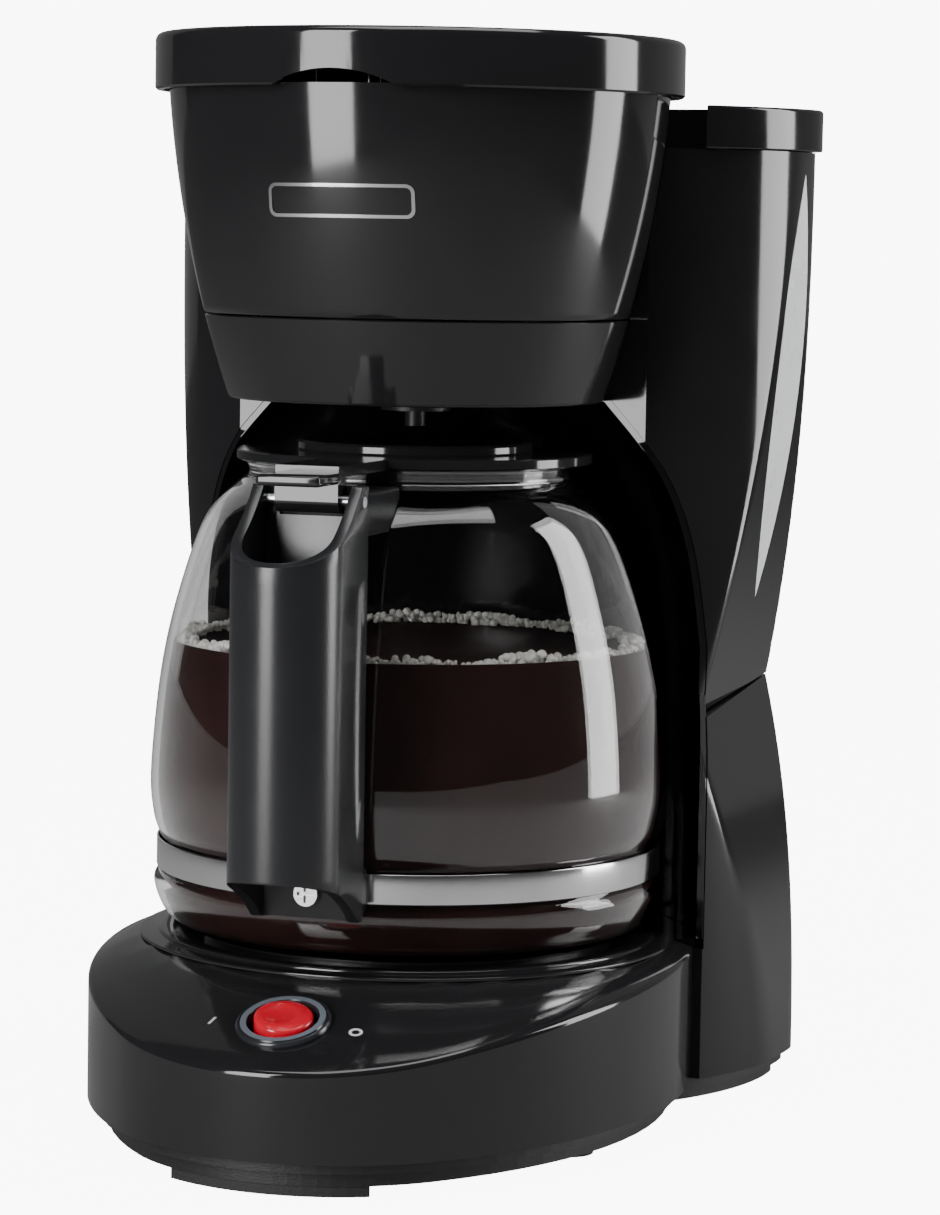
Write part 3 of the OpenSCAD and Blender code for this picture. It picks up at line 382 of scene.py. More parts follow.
def bay_profile(grow, floor):
    knee = HEAD_Z - 71 * MM
    mouth = HEAD_LOW_R + 1 * MM
    dome = catmull([(BAY_R, knee), (BAY_R - 4.5 * MM, knee + 28 * MM), (BAY_R - 13 * MM, knee + 50 * MM),
                    (mouth, HEAD_Z)], 10)
    dome = [(r + grow, z) for r, z in dome]
    return [(0, floor), (BAY_R + grow, floor)] + dome + [(mouth + grow, HEAD_Z + grow), (0, HEAD_Z + grow)]


def head_radius(h):
    mid = HEAD_LOW_R + (HEAD_TOP_R - HEAD_LOW_R) * 0.4
    a = (mid - HEAD_LOW_R) / HEAD_SEAM
    b = (HEAD_TOP_R - mid) / (HEAD_H - HEAD_SEAM)
    return HEAD_LOW_R + a * h + (b - a) / HEAD_H * h * (h - HEAD_SEAM)


def head_wall(h0, h1, inset, n=24):
    return [(head_radius(h0 + (h1 - h0) * i / n) - inset, HEAD_Z + h0 + (h1 - h0) * i / n) for i in range(n + 1)]


# ---------- Housings ----------

def cone_z(x, y, inset=0.0):
    """Height of the sloped control panel over a point."""
    r = math.hypot(x, y)
    return DECK_Z - inset - max(0.0, r - STEP_R) * math.tan(PANEL_SLOPE)


def base_shell(name, inset, floor):
    """The base's outside: side wall, a small rounded crease, then the panel as rings that close in."""
    rings = [base_ring(floor, inset)]
    edge = 1.6 * MM
    for i in range(1, 9):
        t = i / 8
        rings.append([(x, y, floor + (cone_z(x, y - AXIS_Y, inset) - edge - floor) * t)
                      for x, y, _ in base_ring(0, inset)])
    for i in range(1, 6):
        a = math.radians(70 * i / 5)
        ring = base_ring(0, inset + edge * (1 - math.cos(a)))
        rings.append([(x, y, cone_z(x, y - AXIS_Y, inset) - edge * (1 - math.sin(a)) * 0.75) for x, y, _ in ring])
    outer = base_ring(0, inset + edge)
    for i in range(1, 15):
        t = 1 - i / 15 * 0.9
        rings.append([(x * t, (y - AXIS_Y) * t + AXIS_Y, cone_z(x * t, (y - AXIS_Y) * t, inset)) for x, y, _ in outer])
    return loft(name, rings)


def block_of(name, x, y, z, bevel=0.0):
    """A box between two corners, with its edges rounded if asked."""
    obj = new_piece(name, bpy.ops.mesh.primitive_cube_add, size=1)
    obj.scale = (x[1] - x[0], y[1] - y[0], z[1] - z[0])
    obj.location = ((x[0] + x[1]) / 2, (y[0] + y[1]) / 2 + AXIS_Y, (z[0] + z[1]) / 2)
    bake_place(obj)
    if bevel:
        apply(obj, "BEVEL", width=bevel, segments=4, limit_method="ANGLE")
    return obj


def rod(name, r, x, y, z, steps=64):
    """A cylinder along X."""
    obj = new_piece(name, bpy.ops.mesh.primitive_cylinder_add, vertices=steps, radius=r, depth=x[1] - x[0])
    obj.rotation_euler = (0, math.pi / 2, 0)
    obj.location = ((x[0] + x[1]) / 2, y + AXIS_Y, z)
    bake_place(obj)
    return obj


def placed_rod(name, r, x, place, turn):
    """A rod along X, turned about Z and then moved to a place."""
    obj = rod(name, r, x, 0, 0)
    obj.matrix_world = (Matrix.Translation(place) @ Matrix.Rotation(turn, 4, "Z")
                        @ Matrix.Translation((0, -AXIS_Y, 0)))
    bake_place(obj)
    return obj


def disc(name, r, z0, z1, steps=160):
    return lathe(name, [(0, z0), (r, z0), (r, z1), (0, z1)], steps)


def panel_matrix():
    """Stands on the sloped panel at the switch, with Z square to it."""
    return (Matrix.Translation((0, SWITCH_Y + AXIS_Y, cone_z(0, SWITCH_Y)))
            @ Matrix.Rotation(PANEL_SLOPE, 4, "X"))


def panel_lathe(name, profile, steps=72):
    obj = lathe(name, profile, steps, centre_y=0.0)
    obj.matrix_world = panel_matrix()
    bake_place(obj)
    return obj


def base_housing():
    obj = base_shell("base_cover", 0.0, TRAY_Z)
    cut(obj, base_shell("tool", WALL, TRAY_Z - 1 * MM))
    deck = disc("tool", BAY_R - 0.4 * MM, DECK_Z - WALL, DECK_Z)
    room = base_shell("tool2", WALL / 2, DECK_Z - WALL - 1 * MM)
    cut(room, block_of("tool3", (-0.1, 0.1), (SPLIT_Y - 2 * MM, 0.1), (0.0, 0.1)), "UNION")
    cut(deck, room, "INTERSECT")
    cut(obj, deck, "UNION")
    cut(obj, disc("tool", 69 * MM, DECK_Z - 2 * WALL, DECK_Z + WALL))
    cut(obj, panel_lathe("tool", [(0, -8 * MM), (10.5 * MM, -8 * MM), (10.5 * MM, 8 * MM), (0, 8 * MM)]))
    smooth(obj, 28)
    dress(obj, GLOSS, "housing", "base_housing")


def plate_ring():
    s, r, z = STEP_R - 0.5 * MM, 72 * MM, DECK_Z
    f = 0.35 * MM
    top = z + 1.8 * MM
    profile = [(58.4 * MM, z - WALL), (68.8 * MM, z - WALL), (68.8 * MM, z), (s, z)]
    profile += round_corner(s - f, z + 0.8 * MM - f, 90, f, 0)
    profile += [(r + 0.9 * MM, z + 0.8 * MM)]
    profile += round_corner(r - 0.8 * MM, top - 0.8 * MM, 90, 0.8 * MM, 0)
    profile += [(66 * MM, top), (64 * MM, top - 0.7 * MM), (59.4 * MM, top - 0.7 * MM), (58.4 * MM, top - 1.2 * MM),
                (58.4 * MM, z - WALL)]
    obj = lathe("hot_plate_ring", profile, 200)
    smooth(obj, 35)
    dress(obj, GLOSS, "housing", "plate_ring")


def tower_solid(name, inset, z0, z1, upper, rows=44):
    return loft(name, [tower_ring(z0 + (z1 - z0) * i / rows, inset, upper) for i in range(rows + 1)])


def slope_box(name, above, lift=0.0):
    """Half space over or under the sloped waist seam."""
    half = 0.3
    middle_z = half if above else -half
    tool = new_piece(name, bpy.ops.mesh.primitive_cube_add, size=2 * half, location=(0, 0, middle_z))
    bake_place(tool)
    tool.matrix_world = (Matrix.Translation((0, SPLIT_Y + AXIS_Y, WAIST_Z + lift))
                         @ Matrix.Rotation(WAIST_SLOPE, 4, "X"))
    bake_place(tool)
    return tool


LID_AXIS = (HEAD_TOP_R - 7.5 * MM, LID_Z + 7.2 * MM)
TANK_AXIS = (TOWER_BACK + (2 - 6.1) * MM, TANK_LID_Z + 6.1 * MM)


def hinge_lugs(obj, x, axis, floor):
    """Two uprights that end in round eyes about a hinge line, each with the pin's bore."""
    for side in (-1, 1):
        at = side * x
        ends = (at - LUG_W / 2, at + LUG_W / 2)
        upright = block_of("tool", ends, (axis[0] - EYE_R, axis[0]), (floor, axis[1]))
        cut(upright, rod("tool2", EYE_R, ends, *axis), "UNION")
        cut(obj, upright, "UNION")
        cut(obj, rod("tool", LUG_BORE_R, (at - LUG_W, at + LUG_W), *axis))


def hinge_knuckles(obj, axis, lug_x, knuckle_x, bores, floor, top):
    """Room for the lugs under a lid, then a round knuckle beside each, with the pin's bore."""
    y, z = axis
    room, half = 4.9 * MM, 4.3 * MM
    for side, bore in zip((-1, 1), bores):
        at = side * lug_x
        cut(obj, block_of("tool", (at - room, at + room), (y - 3.8 * MM, y + 0.03), (floor, z)))
        cut(obj, rod("tool", 3.8 * MM, (at - room, at + room), y, z))
        at = side * knuckle_x
        knuckle = block_of("tool", (at - half, at + half), (y - EYE_R, y + EYE_R), (z, top))
        cut(knuckle, rod("tool2", EYE_R, (at - half, at + half), y, z), "UNION")
        cut(obj, knuckle, "UNION")
        cut(obj, rod("tool", LID_BORE_R, (bore - 0.3 * MM, bore + 18.6 * MM), y, z))


def tower_upper():
    obj = tower_solid("upper_tower", 0.0, WAIST_Z - 5 * MM, TOWER_TOP, True, 70)
    cut(obj, tower_solid("tool", WALL, WAIST_Z - 6 * MM, TOWER_TOP + 4 * MM, True, 30))
    deck = tower_solid("tool", 1.2 * MM, TOWER_TOP - WALL, TOWER_TOP, True, 2)
    block = block_of("tool", (-77 * MM, 77 * MM), (-0.05, 72.5 * MM), (TOWER_TOP - 0.01, TOWER_TOP + 0.01))
    cut(deck, block, "INTERSECT")
    cut(obj, deck, "UNION")
    hinge_lugs(obj, 38.5 * MM, TANK_AXIS, TOWER_TOP - 8 * MM)
    cut(obj, slope_box("tool", False, SEAM_GROOVE))
    cut(obj, lathe("tool", bay_profile(2.3 * MM, WAIST_Z - 20 * MM), 160))
    cut(obj, lathe("tool", [(0, HEAD_Z - 1 * MM)] + head_wall(0, HEAD_H, -0.4 * MM) + [(0, HEAD_TOP)], 160))
    cut(obj, window_tool("tool", 0.3 * MM, 40 * MM, 80 * MM))
    smooth(obj, 24)
    dress(obj, GLOSS, "housing", "tower_upper")


def tower_lower():
    obj = tower_solid("lower_tower", 0.0, TRAY_Z, WAIST_Z + 16 * MM, False, 60)
    cut(obj, tower_solid("tool", WALL, TRAY_Z - 1 * MM, WAIST_Z + 17 * MM, False, 30))
    cut(obj, slope_box("tool", True, -SEAM_GROOVE))
    cut(obj, lathe("tool", bay_profile(2.3 * MM, DECK_Z - WALL - 0.3 * MM), 160))
    cut(obj, block_of("tool", (-68 * MM, 68 * MM), (SPLIT_Y - 5 * MM, SPLIT_Y + 7 * MM), (TRAY_Z - 1 * MM, DECK_Z)))
    cut(obj, placed_rod("tool", 6 * MM, (-10 * MM, 10 * MM), (44 * MM, TOWER_BACK + AXIS_Y, 24 * MM), math.pi / 2))
    smooth(obj, 24)
    dress(obj, GLOSS, "housing", "tower_lower")


def window_tool(name, grow, start, depth):
    """A pointed-oval bar through the tower's right side."""
    z0, z1 = low("water_window")[2], high("water_window")[2]
    half, wide = (z1 - z0) / 2, WINDOW_HALF
    r = (half * half + wide * wide) / (2 * wide)
    turn = math.asin(half / r)
    ring = arc((0, r - wide), r + grow, -math.pi / 2 - turn, -math.pi / 2 + turn, 40)
    ring += arc((0, wide - r), r + grow, math.pi / 2 - turn, math.pi / 2 + turn, 40)[1:-1]
    rings = [[(x, b, a) for a, b in ring] for x in (start, start + depth)]
    obj = loft(name, rings)
    obj.matrix_world = (Matrix.Translation((0, WINDOW_Y + AXIS_Y, (z0 + z1) / 2))
                        @ Matrix.Rotation(math.radians(-1), 4, "X"))
    bake_place(obj)
    return obj


def bay_wall():
    outer = lathe("bay_wall", bay_profile(2.2 * MM, DECK_Z), 200)
    cut(outer, lathe("tool", bay_profile(0.0, DECK_Z - 2 * MM), 200))
    cut(outer, lathe("tool", [(0, HEAD_Z - 1 * MM)] + head_wall(0, HEAD_H, -0.2 * MM) + [(0, HEAD_TOP)], 160))
    keep = tower_solid("tool", 0.25 * MM, DECK_Z - 1 * MM, WAIST_MID, False, 40)
    upper = tower_solid("tool2", 0.25 * MM, WAIST_MID - 0.2 * MM, HEAD_Z + 2 * MM, True, 40)
    cut(keep, upper, "UNION")
    cut(outer, keep, "INTERSECT")
    smooth(outer, 30)
    dress(outer, BAY_GLOSS, "housing", "bay_wall_panel")


# ---------- Brew head and lids ----------

def head_shells():
    f = 0.7 * MM
    gap = 0.25 * MM
    seam = HEAD_SEAM - gap
    outer = head_wall(f, seam - f * 0.5, 0)
    profile = ([(20 * MM, HEAD_Z), (HEAD_LOW_R - WALL, HEAD_Z)]
               + round_corner(HEAD_LOW_R - f, HEAD_Z + f, 80, f, -90) + outer
               + [(outer[-1][0] - f * 0.5, HEAD_Z + seam), (outer[-1][0] - WALL, HEAD_Z + seam)]
               + list(reversed(head_wall(WALL, seam - f, WALL))) + [(20 * MM, HEAD_Z + WALL), (20 * MM, HEAD_Z)])
    lower = lathe("brew_head_lower", profile, 200)
    smooth(lower, 35)
    dress(lower, GLOSS, "housing", "head_lower")
    start = HEAD_SEAM + gap
    wall_up = head_wall(start + f * 0.5, HEAD_H - 0.4 * MM, 0, 40)
    profile = ([(wall_up[0][0] - WALL, HEAD_Z + start), (wall_up[0][0] - f * 0.5, HEAD_Z + start)] + wall_up
               + [(wall_up[-1][0] - 0.5 * MM, HEAD_TOP), (wall_up[-1][0] - WALL, HEAD_TOP)]
               + list(reversed(head_wall(start, HEAD_H - 1 * MM, WALL))) + [(wall_up[0][0] - WALL, HEAD_Z + start)])
    upper = lathe("brew_head_upper", profile, 200)
    hinge_lugs(upper, 28.5 * MM, LID_AXIS, HEAD_TOP - 12 * MM)
    # The spout's way in
    cut(upper, placed_rod("tool", 4.1 * MM, (-2 * MM, 38 * MM), (0, AXIS_Y + 60.5 * MM, TOWER_TOP - 9 * MM),
                          math.radians(39.7)))
    smooth(upper, 35)
    dress(upper, GLOSS, "housing", "head_upper")


def nameplate():
    """A plain blank silver badge on the front of the head."""
    up = 56 * MM
    z = HEAD_Z + up
    depth = -head_radius(up)
    plate = block_of("blank_badge", (-21 * MM, 21 * MM), (depth - 15 * MM, depth + 15 * MM),
                     (z - 4.6 * MM, z + 4.6 * MM))
    apply(plate, "BEVEL", width=2.3 * MM, segments=6, limit_method="ANGLE")
    hole = block_of("tool", (-20.1 * MM, 20.1 * MM), (depth - 16 * MM, depth + 16 * MM), (z - 3.7 * MM, z + 3.7 * MM))
    apply(hole, "BEVEL", width=1.6 * MM, segments=6, limit_method="ANGLE")
    cut(plate, hole)
    skin = lathe("tool", [(0, HEAD_Z)] + head_wall(0, HEAD_H, -0.35 * MM) + [(0, HEAD_TOP)], 200)
    cut(plate, skin, "INTERSECT")
    cut(plate, lathe("tool", [(0, HEAD_Z - 1 * MM)] + head_wall(0, HEAD_H, 0.3 * MM) + [(0, HEAD_TOP + MM)], 200))
    smooth(plate, 40)
    dress(plate, BAND, "housing")


def brew_lid():
    r, f = HEAD_TOP_R + 4 * MM, 2.2 * MM
    inner = r - WALL
    profile = ([(inner, LID_Z), (r - 0.6 * MM, LID_Z), (r, LID_Z + 0.6 * MM)]
               + round_corner(r - f, LID_TOP - f - 0.5 * MM, 80, f, 0, 8)
               + [(r * 0.75, LID_TOP - 0.12 * MM), (r * 0.4, LID_TOP - 0.02 * MM), (0, LID_TOP)])
    profile += [(0, LID_TOP - WALL), (inner - 2 * MM, LID_TOP - WALL), (inner, LID_TOP - WALL - 2 * MM), (inner, LID_Z)]
    obj = lathe("front_lid", profile, 220)
    # A shallow arched finger notch in the front edge
    notch = new_piece("tool", bpy.ops.mesh.primitive_cylinder_add, vertices=200, radius=38.5 * MM, depth=24 * MM,
                      rotation=(math.pi / 2, 0, 0), location=(0, AXIS_Y - r, LID_Z - 34 * MM))
    bake_place(notch)
    cut(obj, notch)
    y, z = LID_AXIS
    cut(obj, block_of("tool", (-0.1, 0.1), (y + 7.2 * MM, 0.12), (LID_Z - 0.02, LID_TOP + 0.02)))
    under = block_of("tool", (-0.1, 0.1), (y, 0.12), (LID_Z - 0.02, z))
    cut(under, rod("tool2", 7.2 * MM, (-0.11, 0.11), y, z, 96))
    cut(obj, under)
    cut(obj, block_of("tool", (-4.6 * MM, 4.6 * MM), (y - 0.2 * MM, y + 12 * MM), (LID_Z - 1 * MM, z + 0.5 * MM)))
    hinge_knuckles(obj, LID_AXIS, 28.5 * MM, 37.7 * MM, (-42.3 * MM, 24 * MM), LID_Z - 0.02,
                   LID_TOP - WALL - 0.4 * MM)
    # Posts that carry the spray plate
    for turn in (-90, 20, 160):
        post = disc("tool", 2.5 * MM, HEAD_TOP - 1.1 * MM, LID_TOP - WALL + 0.5 * MM, 32)
        a = math.radians(turn)
        post.matrix_world = Matrix.Translation((42 * MM * math.cos(a), 42 * MM * math.sin(a), 0))
        bake_place(post)
        cut(obj, post, "UNION")
    smooth(obj, 30)
    dress(obj, GLOSS, "brew_lid", "brew_lid")


def tank_lid():
    f = 1.1 * MM
    z0, z1 = TANK_LID_Z, TANK_LID_TOP
    rim = -2 * MM
    rings = [tower_ring(z0, rim + 0.3 * MM, True, False), tower_ring(z0 + 0.3 * MM, rim, True, False)]
    for a in range(0, 91, 18):
        turn = math.radians(a)
        rings.append(tower_ring(z1 - f + f * math.sin(turn), rim + f * (1 - math.cos(turn)), True, False))
    obj = loft("rear_lid", rings)
    y, z = TANK_AXIS
    under = block_of("tool", (-0.15, 0.15), (y, 0.14), (z0 - 0.02, z))
    cut(under, rod("tool2", 6.1 * MM, (-0.16, 0.16), y, z, 96))
    cut(obj, under)
    cut(obj, block_of("tool", (-77 * MM, 77 * MM), (-0.1, 72.5 * MM), (z0 - 0.02, z1 + 0.02), 1 * MM))
    room = loft("tool", [tower_ring(z0 - 1 * MM, 0.5 * MM, True, False, SPLIT_Y + WALL),
                         tower_ring(z1 - WALL, 0.5 * MM, True, False, SPLIT_Y + WALL)])
    cut(room, block_of("tool2", (-79.5 * MM, 79.5 * MM), (-0.1, 75 * MM), (z0 - 0.02, z1 + 0.02)))
    cut(obj, room)
    hinge_knuckles(obj, TANK_AXIS, 38.5 * MM, 47.7 * MM, (-52.3 * MM, 34 * MM), z0 - 0.02, z1 - WALL + 0.5 * MM)
    smooth(obj, 30)
    dress(obj, GLOSS, "tank_lid", "tank_lid")


# ---------- Carafe ----------

def glass_side():
    r, h, rim = GLASS_R, RIM_Z - GLASS_Z, 48.7 * MM
    points = [(r - 12 * MM, 0), (r - 4.7 * MM, 4.5 * MM), (r - 1.2 * MM, 13 * MM), (r - 3 * MM, 18 * MM),
              (r - 3 * MM, 25.5 * MM), (r - 0.8 * MM, 33 * MM), (r, 46 * MM), (r - 2.6 * MM, h * 0.55),
              (r - 7.5 * MM, h * 0.72), (r - 15 * MM, h * 0.88), (rim + 2 * MM, h * 0.955),
              (rim - 1 * MM, h * 0.975), (rim, h)]
    return [(a, GLASS_Z + b) for a, b in catmull(points, 8)]


def carafe_glass():
    t = 2.0 * MM
    outer = glass_side()
    inner = [(r - t, max(z, GLASS_Z + 3 * MM)) for r, z in outer]
    profile = [(0, GLASS_Z + 1.2 * MM), (50 * MM, GLASS_Z + 0.8 * MM), (58 * MM, GLASS_Z)] + outer
    profile += list(reversed(inner)) + [(0, GLASS_Z + 3.4 * MM)]
    obj = lathe("carafe_jug", profile, 200)
    smooth(obj, 60)
    dress(obj, CLEAR, "carafe", "carafe_glass")
    return inner


def coffee_fill(inner):
    level = GLASS_Z + 83 * MM
    wall = [(r - 0.25 * MM, z + 0.2 * MM) for r, z in inner if z < level and r > 20 * MM]
    edge = wall[-1][0]
    profile = [(0, wall[0][1])] + wall + [(edge, level - 0.8 * MM), (edge - 1.2 * MM, level - 1.6 * MM),
                                          (0, level - 1.9 * MM)]
    obj = lathe("coffee", profile, 160)
    smooth(obj, 50)
    dress(obj, COFFEE, "carafe")
    return edge, level


def froth(edge, level):
    """A ring of small bubbles against the glass, in loose clumps."""
    rng = random.Random(7)
    bubbles = 1300
    verts, faces = [], []
    seed = new_piece("seed", bpy.ops.mesh.primitive_ico_sphere_add, subdivisions=2, radius=1)
    ball = [v.co.copy() for v in seed.data.vertices]
    tris = [tuple(p.vertices) for p in seed.data.polygons]
    bpy.data.objects.remove(seed, do_unlink=True)
    for i in range(bubbles):
        a = i / bubbles * 2 * math.pi + rng.uniform(-0.004, 0.004)
        clump = 0.55 + 0.45 * math.sin(3 * a + 1) * math.sin(11 * a)
        r = rng.uniform(0.5, 0.9 + 0.7 * clump) * MM
        rise = rng.uniform(0, 1.2 + 2.6 * clump) * MM
        lean = 0.3 * rise
        inward = abs(rng.gauss(0, 1.0 + 1.3 * clump)) * MM
        out = edge - r - 0.15 * MM - inward - lean
        place = Vector((out * math.cos(a), out * math.sin(a) + AXIS_Y, level - 1.3 * MM + rise))
        first = len(verts)
        verts += [place + r * v for v in ball]
        faces += [tuple(first + k for k in t) for t in tris]
    obj = mesh_object("froth_ring", verts, faces)
    smooth(obj, 180)
    dress(obj, FOAM, "carafe")


def steel_band():
    z0, z1 = low("carafe_band")[2], high("carafe_band")[2]
    r = high("carafe_band")[0]
    f = 0.25 * MM
    profile = [(r - 0.55 * MM, z0), (r - f, z0)] + round_corner(r - f, z0 + f, 90, f, -90)[1:]
    profile += round_corner(r - f, z1 - f, 90, f, 0) + [(r - 0.55 * MM, z1), (r - 0.55 * MM, z0)]
    obj = lathe("steel_band", profile, 200)
    smooth(obj, 50)
    dress(obj, BAND, "carafe", "carafe_band")


# ---------- Handle and carafe lid ----------

GRIP_BACK = GLASS_R + 6 * MM
PIN = (-(GLASS_R + 11 * MM), RIM_Z - 6 * MM)


def grip_ring(z, inset):
    """Section of the grip: round in front, with soft corners at the back."""
    w = high("carafe_handle")[0] - inset
    front = -(AXIS_Y - low("carafe_handle")[1]) + high("carafe_handle")[0]
    back, c = -(GRIP_BACK + inset), 2.4 * MM
    ring = arc((w - c, back - c), c, math.pi / 2, 0, 6) + arc((0, front), w, 0, -math.pi, 40)
    ring += arc((c - w, back - c), c, math.pi, math.pi / 2, 6)
    return [(x, y + AXIS_Y, z) for x, y in ring]


def ellipsoid(place, size):
    obj = new_piece("tool", bpy.ops.mesh.primitive_uv_sphere_add, segments=64, ring_count=40, radius=1)
    obj.scale = size
    obj.location = (place[0], place[1] + AXIS_Y, place[2])
    bake_place(obj)
    return obj


def glass_room(name, grow):
    side = [(r + grow, z) for r, z in glass_side()]
    return lathe(name, [(0, GLASS_Z - 5 * MM), (side[0][0], GLASS_Z - 5 * MM)] + side
                 + [(side[-1][0], RIM_Z + 5 * MM), (0, RIM_Z + 5 * MM)], 160)


def carafe_handle():
    z0, z1 = low("carafe_handle")[2], high("carafe_handle")[2]
    obj = loft("jug_handle", [grip_ring(z0 + (z1 - z0) * i / 24, 0) for i in range(25)])
    for side in (-1, 1):
        cut(obj, ellipsoid((side * 17.4 * MM, -89 * MM, (z0 + z1) / 2 - 2 * MM), (3.2 * MM, 4.6 * MM, 44 * MM)))
    arm = block_of("tool", (-13 * MM, 13 * MM), (-GRIP_BACK - 2 * MM, -49.7 * MM),
                   (RIM_Z - 16 * MM, RIM_Z - 4 * MM), 1 * MM)
    cut(obj, arm, "UNION")
    z = low("carafe_band")[2]
    foot = block_of("tool", (-13 * MM, 13 * MM), (-GRIP_BACK - 2 * MM, -72.3 * MM), (z - 2 * MM, z + 10.4 * MM), 1 * MM)
    cut(obj, foot, "UNION")
    cut(obj, loft("tool", [grip_ring(z0 - 1 * MM, 3 * MM), grip_ring(z1 + 1 * MM, 3 * MM)]))
    # Scooped openings at both ends
    cut(obj, rod("tool", 60 * MM, (-0.03, 0.03), -135.1 * MM, z1 + 37.3 * MM, 200))
    cut(obj, rod("tool", 60 * MM, (-0.03, 0.03), -125.2 * MM, z0 - 45.4 * MM, 200))
    # Room for the lid's knuckle, and the pin's bore
    cut(obj, block_of("tool", (-9.5 * MM, 9.5 * MM), (PIN[0] - 4.2 * MM, PIN[0] + 4.2 * MM),
                      (PIN[1] - 4.2 * MM, PIN[1] + 0.03)))
    cut(obj, rod("tool", LUG_BORE_R, (-0.02, 0.02), *PIN))
    cut(obj, glass_room("tool", 0.3 * MM))
    r = high("carafe_band")[0]
    cut(obj, disc("tool", r + 0.05 * MM, z - 0.2 * MM, z + 8.6 * MM))
    apply(obj, "BEVEL", width=0.45 * MM, segments=2, limit_method="ANGLE", angle_limit=math.radians(50))
    smooth(obj, 35)
    dress(obj, SATIN, "carafe", "carafe_handle")


def carafe_lid():
    outline = [(4, -0.5), (43.3, -0.5), (43.3, -6), (45.3, -6), (45.3, 0.4), (50.8, 0.4), (51.2, 0.8),
               (51.2, 3.0), (50.8, 3.4), (34.8, 3.4), (34.1, 3.9), (34, 5.6), (33.3, 6.3), (12.8, 6.3),
               (12, 6.2), (8, 4.24), (4, 3.15), (4, -0.5)]
    obj = lathe("jug_lid", [(a * MM, RIM_Z + b * MM) for a, b in outline], 160)
    y, z = PIN
    parts = [block_of("tool", (-9 * MM, 9 * MM), (y - 3 * MM, -47 * MM), (RIM_Z + 0.4 * MM, RIM_Z + 3.4 * MM)),
             rod("tool", EYE_R, (-9 * MM, 9 * MM), y, z),
             block_of("tool", (-9 * MM, 9 * MM), (y - EYE_R, y + EYE_R), (z, z + 6.5 * MM)),
             block_of("tool", (-9 * MM, 9 * MM), (y - 18 * MM, y), (RIM_Z - 1.4 * MM, RIM_Z + 1.6 * MM), 0.9 * MM)]
    for part in parts:
        cut(obj, part, "UNION")
    cut(obj, rod("tool", LID_BORE_R, (-0.03, 0.03), y, z))
    smooth(obj, 30)
    dress(obj, GLOSS, "carafe_lid", "carafe_lid")


# ---------- Switch and marks ----------

def switch():
    outline = [(9.6, -3.5), (10.25, -3.5), (10.25, 0), (13, 0), (13, 0.7), (12.8, 1.1), (12.3, 1.4), (11.9, 1.2),
               (11.7, 1.6), (9.9, 1.6), (9.6, 1.2), (9.6, -3.5)]
    ring = panel_lathe("switch_ring", [(a * MM, b * MM) for a, b in outline])
    smooth(ring, 40)
    dress(ring, BEZEL, "housing", "switch_bezel")
    outline = [(9.95, 1.5), (11.6, 1.5), (11.6, 1.64), (9.95, 1.64), (9.95, 1.5)]
    inlay = panel_lathe("switch_inlay", [(a * MM, b * MM) for a, b in outline])
    smooth(inlay, 40)
    dress(inlay, INLAY, "housing")
    outline = [(0, -8), (3, -8), (3, -3), (7.5, -3), (8, -2.5), (8, 1.9), (7.8, 2.3), (7.3, 2.6), (6, 2.95),
               (4, 3.2), (2, 3.35), (0, 3.4)]
    obj = lathe("red_rocker", [(a * MM, b * MM) for a, b in outline], 96, centre_y=0.0)
    dish = ellipsoid((-1.8 * MM, -AXIS_Y, 18.2 * MM), (16 * MM, 16 * MM, 16 * MM))
    cut(obj, dish)
    pivot = new_piece("tool", bpy.ops.mesh.primitive_cylinder_add, vertices=32, radius=0.8 * MM, depth=20 * MM,
                      rotation=(math.pi / 2, 0, 0))
    bake_place(pivot)
    cut(obj, pivot, "UNION")
    obj.matrix_world = panel_matrix() @ Matrix.Rotation(math.radians(7), 4, "Y")
    bake_place(obj)
    smooth(obj, 40)
    dress(obj, RED, "rocker", "rocker_button")


def panel_mark(name, profile=None, size=None, x=0.0):
    """A printed mark beside the switch, laid on the cone of the panel."""
    if profile:
        obj = lathe(name, profile, 48, centre_y=0.0)
    else:
        obj = new_piece(name, bpy.ops.mesh.primitive_cube_add, size=1)
        obj.scale = size
        bake_place(obj)
    turn = math.atan2(x, -SWITCH_Y)
    obj.matrix_world = (Matrix.Translation((x, SWITCH_Y + AXIS_Y, cone_z(x, SWITCH_Y))) @ Matrix.Rotation(turn, 4, "Z")
                        @ Matrix.Rotation(PANEL_SLOPE, 4, "X"))
    bake_place(obj)
    dress(obj, PRINT, "housing")


